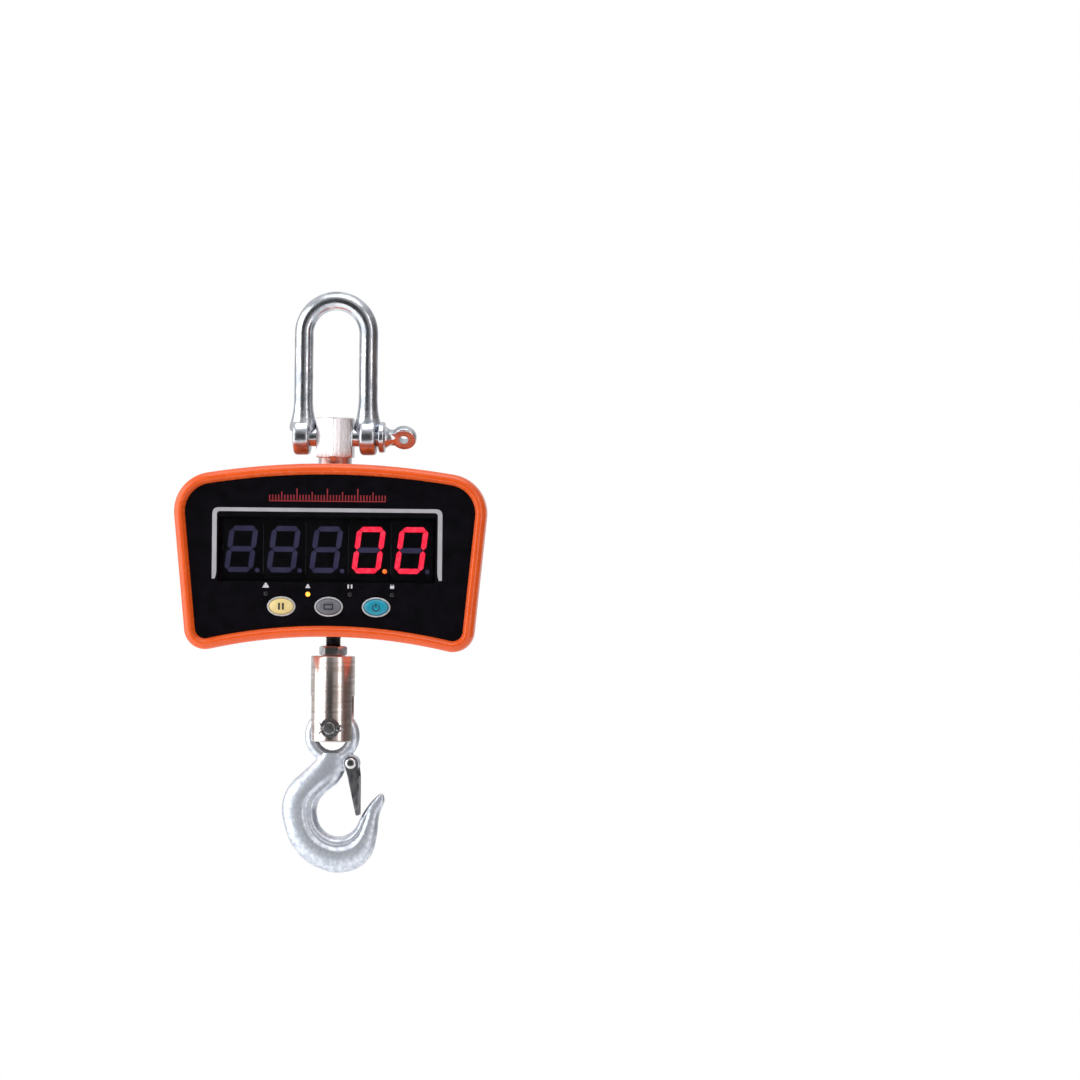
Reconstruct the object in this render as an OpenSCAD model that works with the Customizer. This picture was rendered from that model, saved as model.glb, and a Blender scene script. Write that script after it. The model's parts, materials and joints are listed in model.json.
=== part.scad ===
// Hanging crane scale: shackle, housing with load cell, swivel barrel and eye hook.
// Millimetres, +Z up, the front faces -Y. The origin is the bow's inner crown, where the scale hangs.

/* [Shackle] */
// Diameter of the bow's rod
rod_d = 12.4; // [10.4:0.1:15]
// Clear width inside the bow
bow_gap = 30.4; // [26:0.2:36]
// Height of the bow's inner crown above the pin's axis
bow_h = 83.5; // [66:0.5:110]
// Diameter of each ear
ear_d = 24; // [20:0.5:29]
// Thickness of each ear
ear_t = 11; // [9:0.5:13.2]
// Clear gap between the ears
ear_gap = 33; // [29:0.5:39]
// Diameter of the screw pin
pin_d = 12.7; // [10.6:0.1:15.2]
// Diameter of the pin's shoulder
pin_collar_d = 20.4; // [18:0.2:24]
// Diameter of the pin's flat eye
pin_eye_d = 16.3; // [14:0.1:20]
// Bore of the pin's flat eye
pin_eye_bore = 6; // [4:0.1:8]
// Thickness of the pin's flat eye
pin_eye_t = 5.6; // [4:0.1:7]
// Turn of the pin's flat eye about its own axis
pin_eye_turn = 36; // [0:1:90]

/* [Hanger block] */
// Width across flats of the hexagonal block
hex_af = 24; // [20:0.5:28]
// Height of the hexagonal block
hex_h = 26.4; // [22:0.2:32]
// Height of the block's top above the pin's axis
hex_above_pin = 12.6; // [11:0.2:16]
// Diameter of the round collar under the block
collar_d = 22; // [18:0.5:24]
// Distance from the block down to the housing's rim
collar_h = 4; // [2:0.5:8]
// Diameter of the threaded stem into the load cell
stem_d = 12; // [10:0.5:14]

/* [Housing] */
// Greatest width of the housing
body_w = 205; // [171:1:246]
// Depth of the housing from rim to back
body_depth = 62; // [56:0.5:75]
// Height of the housing at its middle
body_h = 113.6; // [110:0.2:137]
// Height of the widest point below the top of the housing
wide_drop = 37; // [34:0.5:44]
// Lean of the sides, inwards going down
side_lean = 5.6; // [3:0.1:7]
// Radius of the arched top
top_r = 510; // [430:1:640]
// Radius of the arched underside
foot_arc_r = 356; // [330:1:430]
// Radius of the upper corners
top_corner_r = 26; // [22:0.5:31]
// Radius of the lower corners
foot_corner_r = 14; // [12:0.5:17]
// Wall of both housings
wall = 3; // [2.4:0.1:3.6]
// Width of the coloured rim round the panel
rim_w = 7.2; // [6:0.1:8.6]
// Rounding of the rim's and the back's outer edge
edge_round = 4.4; // [3.6:0.1:4.6]
// Width of the bevel from the rim's crown in to the panel
rim_bevel = 2.6; // [1.4:0.1:3]
// Depth of the panel's face behind the rim's crown
panel_recess = 4; // [3.2:0.1:4.8]
// Depth of the front housing from the rim to the seal
front_depth = 14; // [12.5:0.5:16.8]
// Lean of the rear housing's walls, inwards going back
rear_lean = 9; // [6:0.5:10]
// Thickness of the front panel and its window
panel_t = 1.5; // [1.2:0.1:1.8]
// Thickness of the seal between the housings
seal_t = 1.2; // [0.8:0.1:2]

/* [Display] */
// Width of one digit module
digit_w = 28; // [26.6:0.1:28]
// Height of one digit module
digit_h = 40.4; // [36:0.2:44]
// Depth of one digit module
digit_depth = 10; // [8:0.2:10.4]
// Height of the digits' middle below the top of the housing
digit_drop = 56.5; // [54:0.5:60]
// Sideways place of the digit row's middle
digit_shift = -1.8; // [-3:0.1:3]
// Diameter of each indicator LED
led_d = 3; // [2.5:0.1:4]
// Height of the indicator LEDs below the top of the housing
led_drop = 85.7; // [83.5:0.1:88]

/* [Keys] */
// Width of each oval key with its ring
key_w = 18.7; // [16:0.1:22]
// Height of each oval key with its ring
key_h = 13; // [11:0.1:15]
// Width of the trim ring round each key
key_ring_w = 1.3; // [1:0.1:1.8]
// Distance between neighbouring keys
key_pitch = 31.2; // [27:0.1:34]
// Height of the keys below the top of the housing
key_drop = 93.8; // [92:0.1:96]
// Travel of each key
key_travel = 0.8; // [0.5:0.1:0.8]

/* [Load cell] */
// Width of the load cell
cell_w = 51; // [44:0.5:56]
// Height of the load cell
cell_h = 62; // [52:0.5:64]
// Thickness of the load cell
cell_t = 19; // [16:0.5:19.4]
// Height of the load cell's top below the top of the housing
cell_drop = 26; // [25:0.5:31]

/* [Battery] */
// Diameter of one battery cell
battery_d = 18.4; // [15:0.1:18.6]
// Length of one battery cell
battery_l = 65; // [55:0.5:66]

/* [Swivel] */
// Diameter of the lower stud
stud_d = 10; // [8.4:0.2:10]
// Outer diameter of the swivel barrel
barrel_d = 29; // [27.4:0.2:34]
// Length of the swivel barrel
barrel_l = 56.2; // [54:0.2:66]
// Drop from the underside of the housing to the barrel's top
barrel_drop = 13; // [12.6:0.2:20]
// Bore of the swivel barrel
barrel_bore = 19; // [18.8:0.1:20.4]
// Thickness of the barrel's top wall
barrel_top_wall = 8; // [7:0.2:8]
// Width of the slot for the hook's eye
slot_w = 11; // [10:0.1:12]
// Height of the cross pin above the barrel's lower end
cross_up = 9.2; // [9:0.1:11]
// Diameter of the cross pin
cross_d = 8; // [7:0.1:9]
// Width across flats of the jam nut and the swivel nut
nut_af = 16; // [14:0.1:16]

/* [Hook] */
// Thickness of the eye's ring
eye_wire_d = 8.6; // [7.6:0.1:9.4]
// Radius of the eye's hole
eye_hole_r = 9.6; // [8.4:0.1:10.2]
// Thickness of the hook's body at the saddle
hook_t = 16; // [13.4:0.2:19.2]
// Diameter of the latch's rivet
rivet_d = 4; // [3.4:0.1:4.8]
// Thickness of the latch's sheet
latch_t = 1.5; // [1.2:0.1:1.8]

/* [Hidden] */
$fn = 64;
// Straight pieces that make up half of each long arc, and each corner
long_steps = 7;
corner_steps = 7;
// Radial clearance of running fits
run = 0.05;
// Gap between neighbouring pieces that don't touch
gap = 0.3;
// Extra length of a cut past a face
over = 1;

// Heights of the main stations, all below the origin
pin_z = -bow_h;
hex_top = pin_z + hex_above_pin;
hex_foot = hex_top - hex_h;
body_top = hex_foot - collar_h;
body_foot = body_top - body_h;
barrel_top = body_foot - barrel_drop;
barrel_foot = barrel_top - barrel_l;
cross_z = barrel_foot + cross_up;
eye_z = cross_z - (eye_hole_r - cross_d / 2 - run);

// Shackle
bow_r = (bow_gap + rod_d) / 2;
ear_in = ear_gap / 2;
ear_out = ear_in + ear_t;
pin_gap = 1.6;
pin_collar_t = 3.8;
pin_collar_x = ear_out + pin_gap;
pin_neck_x = pin_collar_x + pin_collar_t;
pin_eye_x = pin_neck_x + pin_eye_d / 2 + 4.5;

// Housing, front to back
front_y = -body_depth / 2;
back_y = body_depth / 2;
panel_y = front_y + panel_recess;
plate_y = panel_y + panel_t;
plate_t = 2.5;
plate_back = plate_y + plate_t;
seam_y = front_y + front_depth;
rim_back = seam_y - seal_t / 2;
rear_front = seam_y + seal_t / 2;
rear_step = 1;
crown_steps = 3;
draft_steps = 6;
draft_pitch = (back_y - edge_round - rear_front) / draft_steps;
function rear_inset(i) = rear_step + (i + 0.5) * draft_pitch * tan(rear_lean);
back_inset = rear_inset(draft_steps - 1);
cavity_back = back_y - edge_round;

// Housing outline: unit vectors across and along the right side, and the four arc centres
side_n = [cos(side_lean), -sin(side_lean)];
side_u = [sin(side_lean), cos(side_lean)];
side_c = side_n * [body_w / 2, body_top - wide_drop];
top_c = [0, body_top - top_r];
foot_c = [0, body_foot - foot_arc_r];
function reach(c, arm, r) = side_u * c + sqrt(arm * arm - pow(side_c - r - side_n * c, 2));
top_corner = side_n * (side_c - top_corner_r) + side_u * reach(top_c, top_r - top_corner_r, top_corner_r);
foot_corner = side_n * (side_c - foot_corner_r)
    + side_u * reach(foot_c, foot_arc_r + foot_corner_r, foot_corner_r);

// Display
digits = 5;
digit_z = body_top - digit_drop;
digit_face = plate_y + 1.5;
digit_back = digit_face + digit_depth;
digit_gap = 0.3;
board_t = 1.6;
board_back = digit_back + board_t;
window_w = digits * digit_w + 3;
window_h = digit_h + 2;
led_z = body_top - led_drop;
led_pitch = 27.7;
board_w = digits * digit_w + 1;
board_top = digit_z + digit_h / 2 + 7;
key_z = body_top - key_drop;
board_foot = key_z - 9;

// Keys
cap_w = key_w - 2 * key_ring_w;
cap_h = key_h - 2 * key_ring_w;
cap_y = panel_y - 1.5;
flange_t = 1.4;
switch_h = 2.4;
plunger_h = 0.7;
stem_end = digit_back - switch_h - plunger_h - key_travel - 0.1;

board_mid = (board_top + board_foot) / 2;
board_h = board_top - board_foot;
board_hole = 3;

// Screws that hold the housings, sunk in deep bosses of the rear housing
boss_d = 8;
screw_d = 3;
screw_head_d = 5.6;
screw_head_h = 2.4;
screw_seat = seam_y + 12;
bosses = [
    [body_w / 2 - 18.5, body_top - 32.5],
    [body_w / 2 - 24.5, body_foot + 9.5],
    [28, body_top - 17],
];

// Load cell
cell_top = body_top - cell_drop;
cell_foot = cell_top - cell_h;
cell_z = (cell_top + cell_foot) / 2;
cell_slot = 4;
cell_pocket = 22;
cover_t = 1.4;
stem_grip = 13;
grommet_d = stem_d + 6;
foot_grommet_d = stud_d + 6;
turret_wall = 4;
turret_drop = 2.4;
turret_h = 6.5;
turret_top = body_top - turret_drop;
turret_foot = body_foot + turret_drop;
nut_h = 6.4;
big_nut_af = 18;

// Battery tray in the left rear, open to the door
tray_wall = 1.5;
tray_gap = 1;
tray_w = 2 * battery_d + 2 * tray_gap + 2 * tray_wall + 2;
tray_h = battery_l + 2 * tray_wall + 4;
tray_x = -cell_w / 2 - 7 - tray_w / 2;
tray_z = cell_z - 3;
tray_back = cavity_back - gap;
tray_front = tray_back - battery_d - tray_gap - tray_wall;
door_t = 2.2;
door_lip = 3;
door_w = tray_w + 2 * door_lip;
door_h = tray_h + 2 * door_lip;
door_y = back_y - door_t;
plate_w = 46;
plate_h = 30;

// Main board in the right rear
main_w = 42;
main_h = 66;
main_x = cell_w / 2 + 9 + main_w / 2;
main_y = 16;
main_hole_x = main_w / 2 - 4;
main_hole_z = main_h / 2 - 4;
standoff_d = 6;
socket_d = 11;
socket_x = main_x + 8;
socket_z = body_foot + 17;

// Swivel
bore_top = barrel_top - barrel_top_wall;
race_t = 1.6;
race_od = 18;
ball_d = 2.25;
balls = 12;
race_low_z = bore_top - race_t - ball_d - 0.1 - race_t;
swivel_nut_h = 8;
stud_end = race_low_z - swivel_nut_h - 2;
slot_top = cross_z + eye_hole_r + eye_wire_d + 2.4;
spot_y = barrel_d / 2 - 1.3;
washer_t = 1.2;
washer_d = 12.7;
split_d = 2;
split_y = -spot_y - washer_t - 0.3 - split_d / 2;

// Hook. Each station of the body, from the neck to the tip:
// inner edge x and z, then outer edge x and z, counted from the eye's centre.
eye_r = eye_hole_r + eye_wire_d / 2;
stations = [
    [7, -11, -7, -11],
    [8.6, -15, -11.5, -17],
    [8.4, -23, -17.5, -22.5],
    [4, -31, -26, -30.5],
    [-3.5, -37, -31, -38.5],
    [-8.4, -43, -33, -47.5],
    [-9.9, -50.5, -31.6, -58],
    [-8, -58.5, -26.3, -72],
    [-3, -64, -15, -84],
    [3.7, -66.4, 1.5, -90.4],
    [11, -64.8, 17, -87.6],
    [16.4, -60, 26.4, -78.6],
    [19.6, -53.2, 30, -66.5],
    [24.6, -45.2, 31.6, -52.5],
    [29.2, -40, 35, -43],
    [32, -37.6, 34.4, -38.4],
];
passes = 3;
// Layers of the body: share of its width and share of its thickness
hook_layers = [[1, 0.42], [0.86, 0.76], [0.62, 1]];
hook_reach = 36;
neck_t = 10.6;
tip_t = 4.5;
saddle_z = eye_z + stations[9][1];
saddle_x = stations[9][0];
rivet_x = 13;
rivet_z = eye_z - 17.9;
lug_r = 5.6;
lug_t = 7.6;
cheek_in = lug_t / 2 + gap;
cheek_out = cheek_in + latch_t;
latch_boss_r = 4.6;

// ---- shared shapes ----

// Extrudes an outline drawn in X and Z from y0 back to y1
module slab(y0, y1) {
    translate([0, y1, 0]) rotate([90, 0, 0]) linear_extrude(y1 - y0) children();
}

// Round bar along X
module bar_x(x0, x1, d) {
    translate([x0, 0, 0]) rotate([0, 90, 0]) cylinder(h = x1 - x0, d = d);
}

// Round bar along Y through a point given in X and Z
module bar_y(x, z, y0, y1, d) {
    translate([x, y0, z]) rotate([-90, 0, 0]) cylinder(h = y1 - y0, d = d);
}

// Round bar along Z
module bar_z(z0, z1, d) {
    translate([0, 0, z0]) cylinder(h = z1 - z0, d = d);
}

// Disc on the Z axis with both edges chamfered
module chamfered(z0, z1, d, c) {
    rotate_extrude() polygon([
        [0, z0], [d / 2 - c, z0], [d / 2, z0 + c],
        [d / 2, z1 - c], [d / 2 - c, z1], [0, z1],
    ]);
}

// Box given by its middle in X and Z, its size, and its two faces in Y
module block(x, z, w, h, y0, y1) {
    translate([x - w / 2, y0, z - h / 2]) cube([w, y1 - y0, h]);
}

// Hexagonal prism on the Z axis with chamfered ends, its corners to the front and back unless turned
module hex_bar(z0, z1, af, c, turn = 30) {
    intersection() {
        translate([0, 0, z0]) rotate(turn) cylinder(h = z1 - z0, d = af / cos(30), $fn = 6);
        chamfered(z0, z1, af / cos(30), c);
    }
}

// Oval of a given width and height
module oval(w, h) {
    polygon([for (a = [0 : 7.5 : 352.5]) [w / 2 * cos(a), h / 2 * sin(a)]]);
}

// Points along an arc from angle a0 to a1, without the first
function arc(c, r, a0, a1, steps) = [for (i = [1 : steps])
    let (a = a0 + (a1 - a0) * i / steps) c + r * [cos(a), sin(a)]];

// The housing's outline seen from the front, moved in by inset: the right half, then its mirror
module outline(inset) {
    top_a = atan2(top_corner[1] - top_c[1], top_corner[0]);
    foot_a = atan2(foot_corner[1] - foot_c[1], foot_corner[0]);
    half = concat(
        arc(top_c, top_r - inset, 90, top_a, long_steps),
        arc(top_corner, top_corner_r - inset, top_a, -side_lean, corner_steps),
        [foot_corner + (foot_corner_r - inset) * side_n],
        arc(foot_corner, foot_corner_r - inset, -side_lean, foot_a - 180, corner_steps),
        arc(foot_c, foot_arc_r + inset, foot_a, 90, long_steps));
    last = len(half) - 1;
    polygon(concat([[0, body_top - inset]], half, [for (k = [last - 1 : -1 : 0]) [-half[k][0], half[k][1]]]));
}

// Front housing's block, with its front edge rounded in steps
module front_block() {
    slab(front_y + edge_round, rim_back) outline(0);
    for (i = [0 : crown_steps - 1]) {
        low = 90 * i / crown_steps;
        high = 90 * (i + 1) / crown_steps;
        slab(front_y + edge_round * (1 - sin(high)), front_y + edge_round * (1 - sin(low)) + over)
            outline(edge_round * (1 - cos(low + 68 / crown_steps)));
    }
}

// Rear housing's leaning walls in steps, moved in by a wall thickness
module rear_block(inwards) {
    for (i = [0 : draft_steps - 1])
        slab(rear_front + max(0, i - 0.5) * draft_pitch, rear_front + (i + 1) * draft_pitch)
            outline(rear_inset(i) + inwards);
}

// Rear housing's back edge, rounded in steps
module back_round() {
    for (i = [0 : crown_steps - 1]) {
        low = 90 * i / crown_steps;
        high = 90 * (i + 1) / crown_steps;
        slab(back_y - edge_round * (1 - sin(low)) - over, back_y - edge_round * (1 - sin(high)))
            outline(back_inset + edge_round * (1 - cos(low + 68 / crown_steps)));
    }
}

// Repeats its child at the housing's six screws
module at_bosses() {
    for (s = [0, 1]) mirror([s, 0, 0]) for (p = bosses) translate([p[0], 0, p[1]]) children();
}

// Repeats its child at the display board's four screws
module at_board_holes() {
    for (sx = [-1, 1], sz = [-1, 1])
        translate([digit_shift + sx * (board_w / 2 - board_hole), 0, board_mid + sz * (board_h / 2 - board_hole)])
            children();
}

// Repeats its child at the three keys
module at_keys() {
    for (i = [-1, 0, 1]) translate([i * key_pitch, 0, key_z]) children();
}

// Repeats its child at the four indicator LEDs
module at_leds() {
    for (i = [0 : 3]) translate([(i - 1.5) * led_pitch, 0, led_z]) children();
}

// ---- shackle ----

module shackle_bow() {
    color("#c9ced3") difference() {
        union() {
            translate([0, 0, -bow_gap / 2]) rotate([90, 0, 0])
                rotate_extrude(angle = 180) translate([bow_r, 0]) circle(d = rod_d);
            for (s = [-1, 1]) translate([s * bow_r, 0, 0]) {
                bar_z(pin_z, -bow_gap / 2, rod_d);
                chamfered(pin_z, pin_z + ear_d / 2 + 2.5, rod_d + 1.4, 0.7);
            }
            for (s = [-1, 1]) translate([s * (ear_in + ear_out) / 2, 0, pin_z]) rotate([0, 90, 0])
                chamfered(-ear_t / 2, ear_t / 2, ear_d, 1.6);
        }
        translate([0, 0, pin_z]) bar_x(-ear_out - over, ear_out + over, pin_d + 2 * run);
    }
}

module shackle_pin() {
    color("#b9bdc2") translate([0, 0, pin_z]) {
        rotate([0, 90, 0]) {
            chamfered(-ear_out + gap, pin_collar_x + over, pin_d, 1);
            chamfered(pin_collar_x, pin_neck_x, pin_collar_d, 0.9);
            translate([0, 0, pin_neck_x - 0.1]) cylinder(h = 6.5, d1 = 15, d2 = pin_eye_t + 3);
        }
        rotate([pin_eye_turn, 0, 0]) difference() {
            union() {
                bar_y(pin_eye_x, 0, -pin_eye_t / 2, pin_eye_t / 2, pin_eye_d);
                block((pin_neck_x + pin_eye_x) / 2, 0, pin_eye_x - pin_neck_x, pin_eye_d * 0.62,
                    -pin_eye_t / 2, pin_eye_t / 2);
            }
            bar_y(pin_eye_x, 0, -pin_eye_t, pin_eye_t, pin_eye_bore);
        }
    }
}

// ---- load train ----

module hanger_block() {
    color("#d4d4d6") difference() {
        union() {
            hex_bar(hex_foot, hex_top, hex_af, 1.6);
            bar_z(turret_top + gap, hex_foot + over, collar_d);
            bar_z(cell_top - stem_grip, body_top + over, stem_d);
        }
        translate([0, 0, pin_z]) bar_x(-hex_af, hex_af, pin_d + 2 * run);
    }
}

module stem_nut() {
    color("#b8bcc0") difference() {
        hex_bar(cell_top, cell_top + nut_h, big_nut_af, 1);
        bar_z(cell_top - over, cell_top + nut_h + over, stem_d + 2 * run);
    }
}

// Rubber bush in a turret of the housing, flanged on the inside below its mouth at height z
module grommet(z, hole_d, shaft_d) {
    difference() {
        union() {
            bar_z(z - turret_h - over, z + 0.2, hole_d - 2 * run);
            bar_z(z - turret_h - 1.6, z - turret_h - 0.1, hole_d + 3);
        }
        bar_z(z - turret_h - 2 * over, z + over, shaft_d + 2 * run);
    }
}

module top_grommet() {
    color("#1c1c1e") grommet(turret_top, grommet_d, stem_d);
}

module bottom_grommet() {
    color("#1c1c1e") mirror([0, 0, 1]) grommet(-turret_foot, foot_grommet_d, stud_d);
}

module load_cell() {
    color("#cdd2d6") difference() {
        block(0, cell_z, cell_w, cell_h, -cell_t / 2, cell_t / 2);
        for (s = [-1, 1])
            block(s * 6, cell_z - s * (cell_pocket / 2 + cell_slot + 3), cell_w, cell_slot,
                -cell_t, cell_t);
        block(0, cell_z, cell_pocket, cell_pocket, -cell_t, cell_t);
        bar_z(cell_top - stem_grip - over, cell_top + over, stem_d + 2 * run);
        bar_z(cell_foot - over, cell_foot + stem_grip + over, stud_d + 2 * run);
    }
}

module strain_gauges() {
    color("#c79a3c") for (s = [-1, 1], t = [-1, 1])
        block(s * (cell_pocket / 2 - 0.2), cell_z + t * 5, 0.4, 6, -2, 2);
}

module gauge_covers() {
    color("#9aa0a6") for (s = [0, 1]) mirror([0, s, 0])
        block(0, cell_z, cell_pocket + 6, cell_pocket + 4, -cell_t / 2 - cover_t, -cell_t / 2);
}

module load_cell_cable() {
    x0 = cell_w / 2;
    x1 = main_x - main_w / 2 + 7;
    y1 = main_y - board_t;
    color("#2b2b2e") translate([0, 0, cell_z]) {
        bar_x(x0, x1, 4);
        translate([x1, 0, 0]) sphere(d = 4);
        bar_y(x1, 0, 0, y1, 4);
    }
}

// ---- housing ----

// The bevel and the recess in front of the panel
module panel_recess_cut() {
    slab(front_y - over, plate_y) outline(rim_w);
    for (i = [1 : crown_steps - 1])
        slab(front_y - over, panel_y - i * panel_recess / crown_steps)
            outline(rim_w - rim_bevel * i / crown_steps);
}

module front_housing() {
    color("#e8622d") difference() {
        union() {
            difference() {
                front_block();
                panel_recess_cut();
                slab(plate_back, seam_y) outline(wall);
            }
            at_bosses() bar_y(0, 0, plate_back - over, rim_back, boss_d);
            at_board_holes() bar_y(0, 0, plate_back - over, digit_back - gap, 2 * board_hole - 0.4);
        }
        at_bosses() bar_y(0, 0, plate_back + 0.5, seam_y, screw_d - 0.5);
        at_board_holes() bar_y(0, 0, plate_back + 0.5, digit_back, screw_d - 0.5);
        block(digit_shift, digit_z, window_w - 2, window_h - 1, plate_y - over, plate_back + over);
        at_keys() slab(plate_y - over, plate_back + over) oval(cap_w + 2 * gap, cap_h + 2 * gap);
        at_leds() bar_y(0, 0, plate_y - over, plate_back + over, led_d + 0.4);
    }
}

module rear_housing() {
    color("#e8622d") difference() {
        union() {
            difference() {
                union() {
                    rear_block(0);
                    back_round();
                    bar_z(turret_top - turret_h, turret_top, grommet_d + 2 * turret_wall);
                    bar_z(turret_foot, turret_foot + turret_h, foot_grommet_d + 2 * turret_wall);
                }
                intersection() {
                    rear_block(wall);
                    slab(rear_front - over, back_y) cavity();
                }
            }
            at_bosses() bar_y(0, 0, rear_front, back_y - over, boss_d);
        }
        at_bosses() bar_y(0, 0, rear_front - over, back_y + over, screw_d + 0.4);
        at_bosses() bar_y(0, 0, screw_seat, back_y + over, screw_head_d + 0.6);
        block(tray_x, tray_z, door_w, door_h, door_y - gap, back_y + over);
        block(tray_x, tray_z, tray_w + 2 * gap, tray_h + 2 * gap, tray_front, door_y);
        block(main_x - 6, cell_z + 6, plate_w + 0.2, plate_h + 0.2, back_y - 0.5, back_y + over);
        bar_y(socket_x, socket_z, cavity_back - over, back_y + over, socket_d - 3);
        bar_z(turret_top - 2 * turret_h, body_top, grommet_d);
        bar_z(turret_top, body_top + over, collar_d + 2 * gap);
        bar_z(body_foot, turret_foot + 2 * turret_h, foot_grommet_d);
    }
}

// Where the rear housing is hollow: everywhere but in the two turrets
module cavity() {
    difference() {
        square([2 * body_w, 6 * body_h], center = true);
        translate([0, turret_top - turret_h / 2])
            square([grommet_d + 2 * turret_wall, turret_h], center = true);
        translate([0, turret_foot + turret_h / 2])
            square([foot_grommet_d + 2 * turret_wall, turret_h], center = true);
    }
}

module housing_seal() {
    color("#17171a") difference() {
        slab(rim_back, rear_front) outline(0.7);
        slab(rim_back - over, rear_front + over) outline(wall + 0.3);
    }
}

module housing_screws() {
    color("#aeb2b6") at_bosses() {
        difference() {
            bar_y(0, 0, screw_seat, screw_seat + screw_head_h, screw_head_d);
            bar_y(0, 0, screw_seat + 1, screw_seat + screw_head_h + over, 2.6, $fn = 6);
        }
        bar_y(0, 0, plate_back + 1, screw_seat + 0.1, screw_d - 0.6);
    }
}

// ---- front panel, display and keys ----

module front_panel() {
    color("#0c0c0f") difference() {
        slab(panel_y, plate_y) outline(rim_w + 0.1);
        block(digit_shift, digit_z, window_w, window_h, panel_y - over, plate_y + over);
        at_keys() slab(panel_y - over, plate_y + over) oval(cap_w + 2 * gap, cap_h + 2 * gap);
        at_leds() bar_y(0, 0, panel_y - over, plate_y + over, led_d + 0.2);
    }
}

module display_window() {
    color("#2a0f14") block(digit_shift, digit_z, window_w - 2 * run, window_h - 2 * run, panel_y, plate_y);
}

// One seven-segment module, counted from the left, as a plain block
module digit(i) {
    x = digit_shift + (i - 3) * digit_w;
    color("#1c1b2e") block(x, digit_z, digit_w - digit_gap, digit_h, digit_face, digit_back);
}

module digit_1() { digit(1); }
module digit_2() { digit(2); }
module digit_3() { digit(3); }
module digit_4() { digit(4); }
module digit_5() { digit(5); }

module display_board() {
    color("#1f5c36") difference() {
        block(digit_shift, board_mid, board_w, board_h, digit_back, board_back);
        at_board_holes() bar_y(0, 0, digit_back - over, board_back + over, screw_d);
    }
}

module board_screws() {
    color("#b0b4b8") at_board_holes() {
        bar_y(0, 0, board_back, board_back + 1.4, 5);
        bar_y(0, 0, digit_back - 6, board_back + 0.1, screw_d - 0.6);
    }
}

module indicator_leds() {
    color("#ff9a3c") at_leds() {
        bar_y(0, 0, panel_y + 0.2, digit_back, led_d);
        bar_y(0, 0, digit_back - 3, digit_back, led_d + 0.8);
    }
}

module key_rings() {
    color("#d9d9dc") at_keys() difference() {
        slab(panel_y - 0.6, panel_y) oval(key_w, key_h);
        slab(panel_y - over, panel_y + over) oval(cap_w + 2 * gap, cap_h + 2 * gap);
    }
}

// One key: its oval cap, the flange that keeps it in, and its stem
module key(i) {
    translate([i * key_pitch, 0, key_z]) {
        slab(cap_y + 0.5, plate_back + gap + 0.1) oval(cap_w, cap_h);
        slab(cap_y, cap_y + 0.6) oval(cap_w - 1, cap_h - 1);
        slab(plate_back + gap, plate_back + gap + flange_t) oval(cap_w + 3, cap_h + 3);
        bar_y(0, 0, plate_back + flange_t, stem_end, 4);
    }
}

module key_hold() { color("#ebd48f") key(-1); }
module key_zero() { color("#6a6a72") key(0); }
module key_power() { color("#0e93af") key(1); }

module key_switches() {
    color("#26262a") at_keys() {
        block(0, 0, 6, 6, digit_back - switch_h, digit_back);
        bar_y(0, 0, digit_back - switch_h - plunger_h, digit_back - switch_h, 3.4);
    }
}

// ---- electronics and battery ----

module main_board() {
    z = cell_z + 1;
    color("#1f5c36") {
        difference() {
            block(main_x, z, main_w, main_h, main_y, main_y + board_t);
            for (sx = [-1, 1], sz = [-1, 1])
                bar_y(main_x + sx * main_hole_x, z + sz * main_hole_z, main_y - over,
                    main_y + board_t + over, screw_d);
        }
        block(main_x + 6, z + 8, 14, 14, main_y - 1.6, main_y);
        block(main_x - main_w / 2 + 7, cell_z, 7, 9, main_y - board_t, main_y);
    }
}

module standoffs() {
    z = cell_z + 1;
    color("#c9b06a") for (sx = [-1, 1], sz = [-1, 1])
        translate([main_x + sx * main_hole_x, 0, z + sz * main_hole_z]) {
            bar_y(0, 0, main_y + board_t, cavity_back, standoff_d);
            bar_y(0, 0, main_y - 1.6, main_y, 5);
            bar_y(0, 0, main_y - 0.1, main_y + board_t + 0.1, screw_d - 0.2);
        }
}

module buzzer() {
    color("#151517") difference() {
        bar_y(main_x + 6, cell_z - 18, main_y - 8.5, main_y, 12);
        bar_y(main_x + 6, cell_z - 18, main_y - 9, main_y - 6, 2);
    }
}

module battery_tray() {
    color("#26262a") difference() {
        block(tray_x, tray_z, tray_w, tray_h, tray_front, tray_back);
        block(tray_x, tray_z, tray_w - 2 * tray_wall, tray_h - 2 * tray_wall,
            tray_front + tray_wall, tray_back + over);
    }
}

module at_cells() {
    for (s = [-1, 1]) translate([tray_x + s * (battery_d / 2 + 0.5), tray_front + tray_wall
        + battery_d / 2 + gap, tray_z]) children();
}

module battery_cells() {
    color("#2c6fb5") at_cells() chamfered(-battery_l / 2, battery_l / 2, battery_d, 0.8);
}

module battery_contacts() {
    z = tray_h / 2 - tray_wall;
    color("#d8cfa0") at_cells() for (s = [0, 1]) mirror([0, 0, s]) {
        bar_z(z - 0.6, z, 11);
        translate([0, 0, battery_l / 2]) cylinder(h = z - 0.5 - battery_l / 2, d1 = 5, d2 = 9);
    }
}

module battery_door() {
    color("#e8622d") difference() {
        block(tray_x, tray_z, door_w - 2 * gap, door_h - 2 * gap, door_y, back_y);
        for (i = [-2 : 2])
            block(tray_x, tray_z + door_h / 4 + i * 4, door_w * 0.5, 1.6, back_y - 0.8, back_y + over);
    }
}

module door_seal() {
    color("#17171a") difference() {
        block(tray_x, tray_z, tray_w + 2.6, tray_h + 2.6, door_y - gap, door_y - 0.02);
        block(tray_x, tray_z, tray_w + 2 * gap, tray_h + 2 * gap, door_y - over, door_y + over);
    }
}

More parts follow.
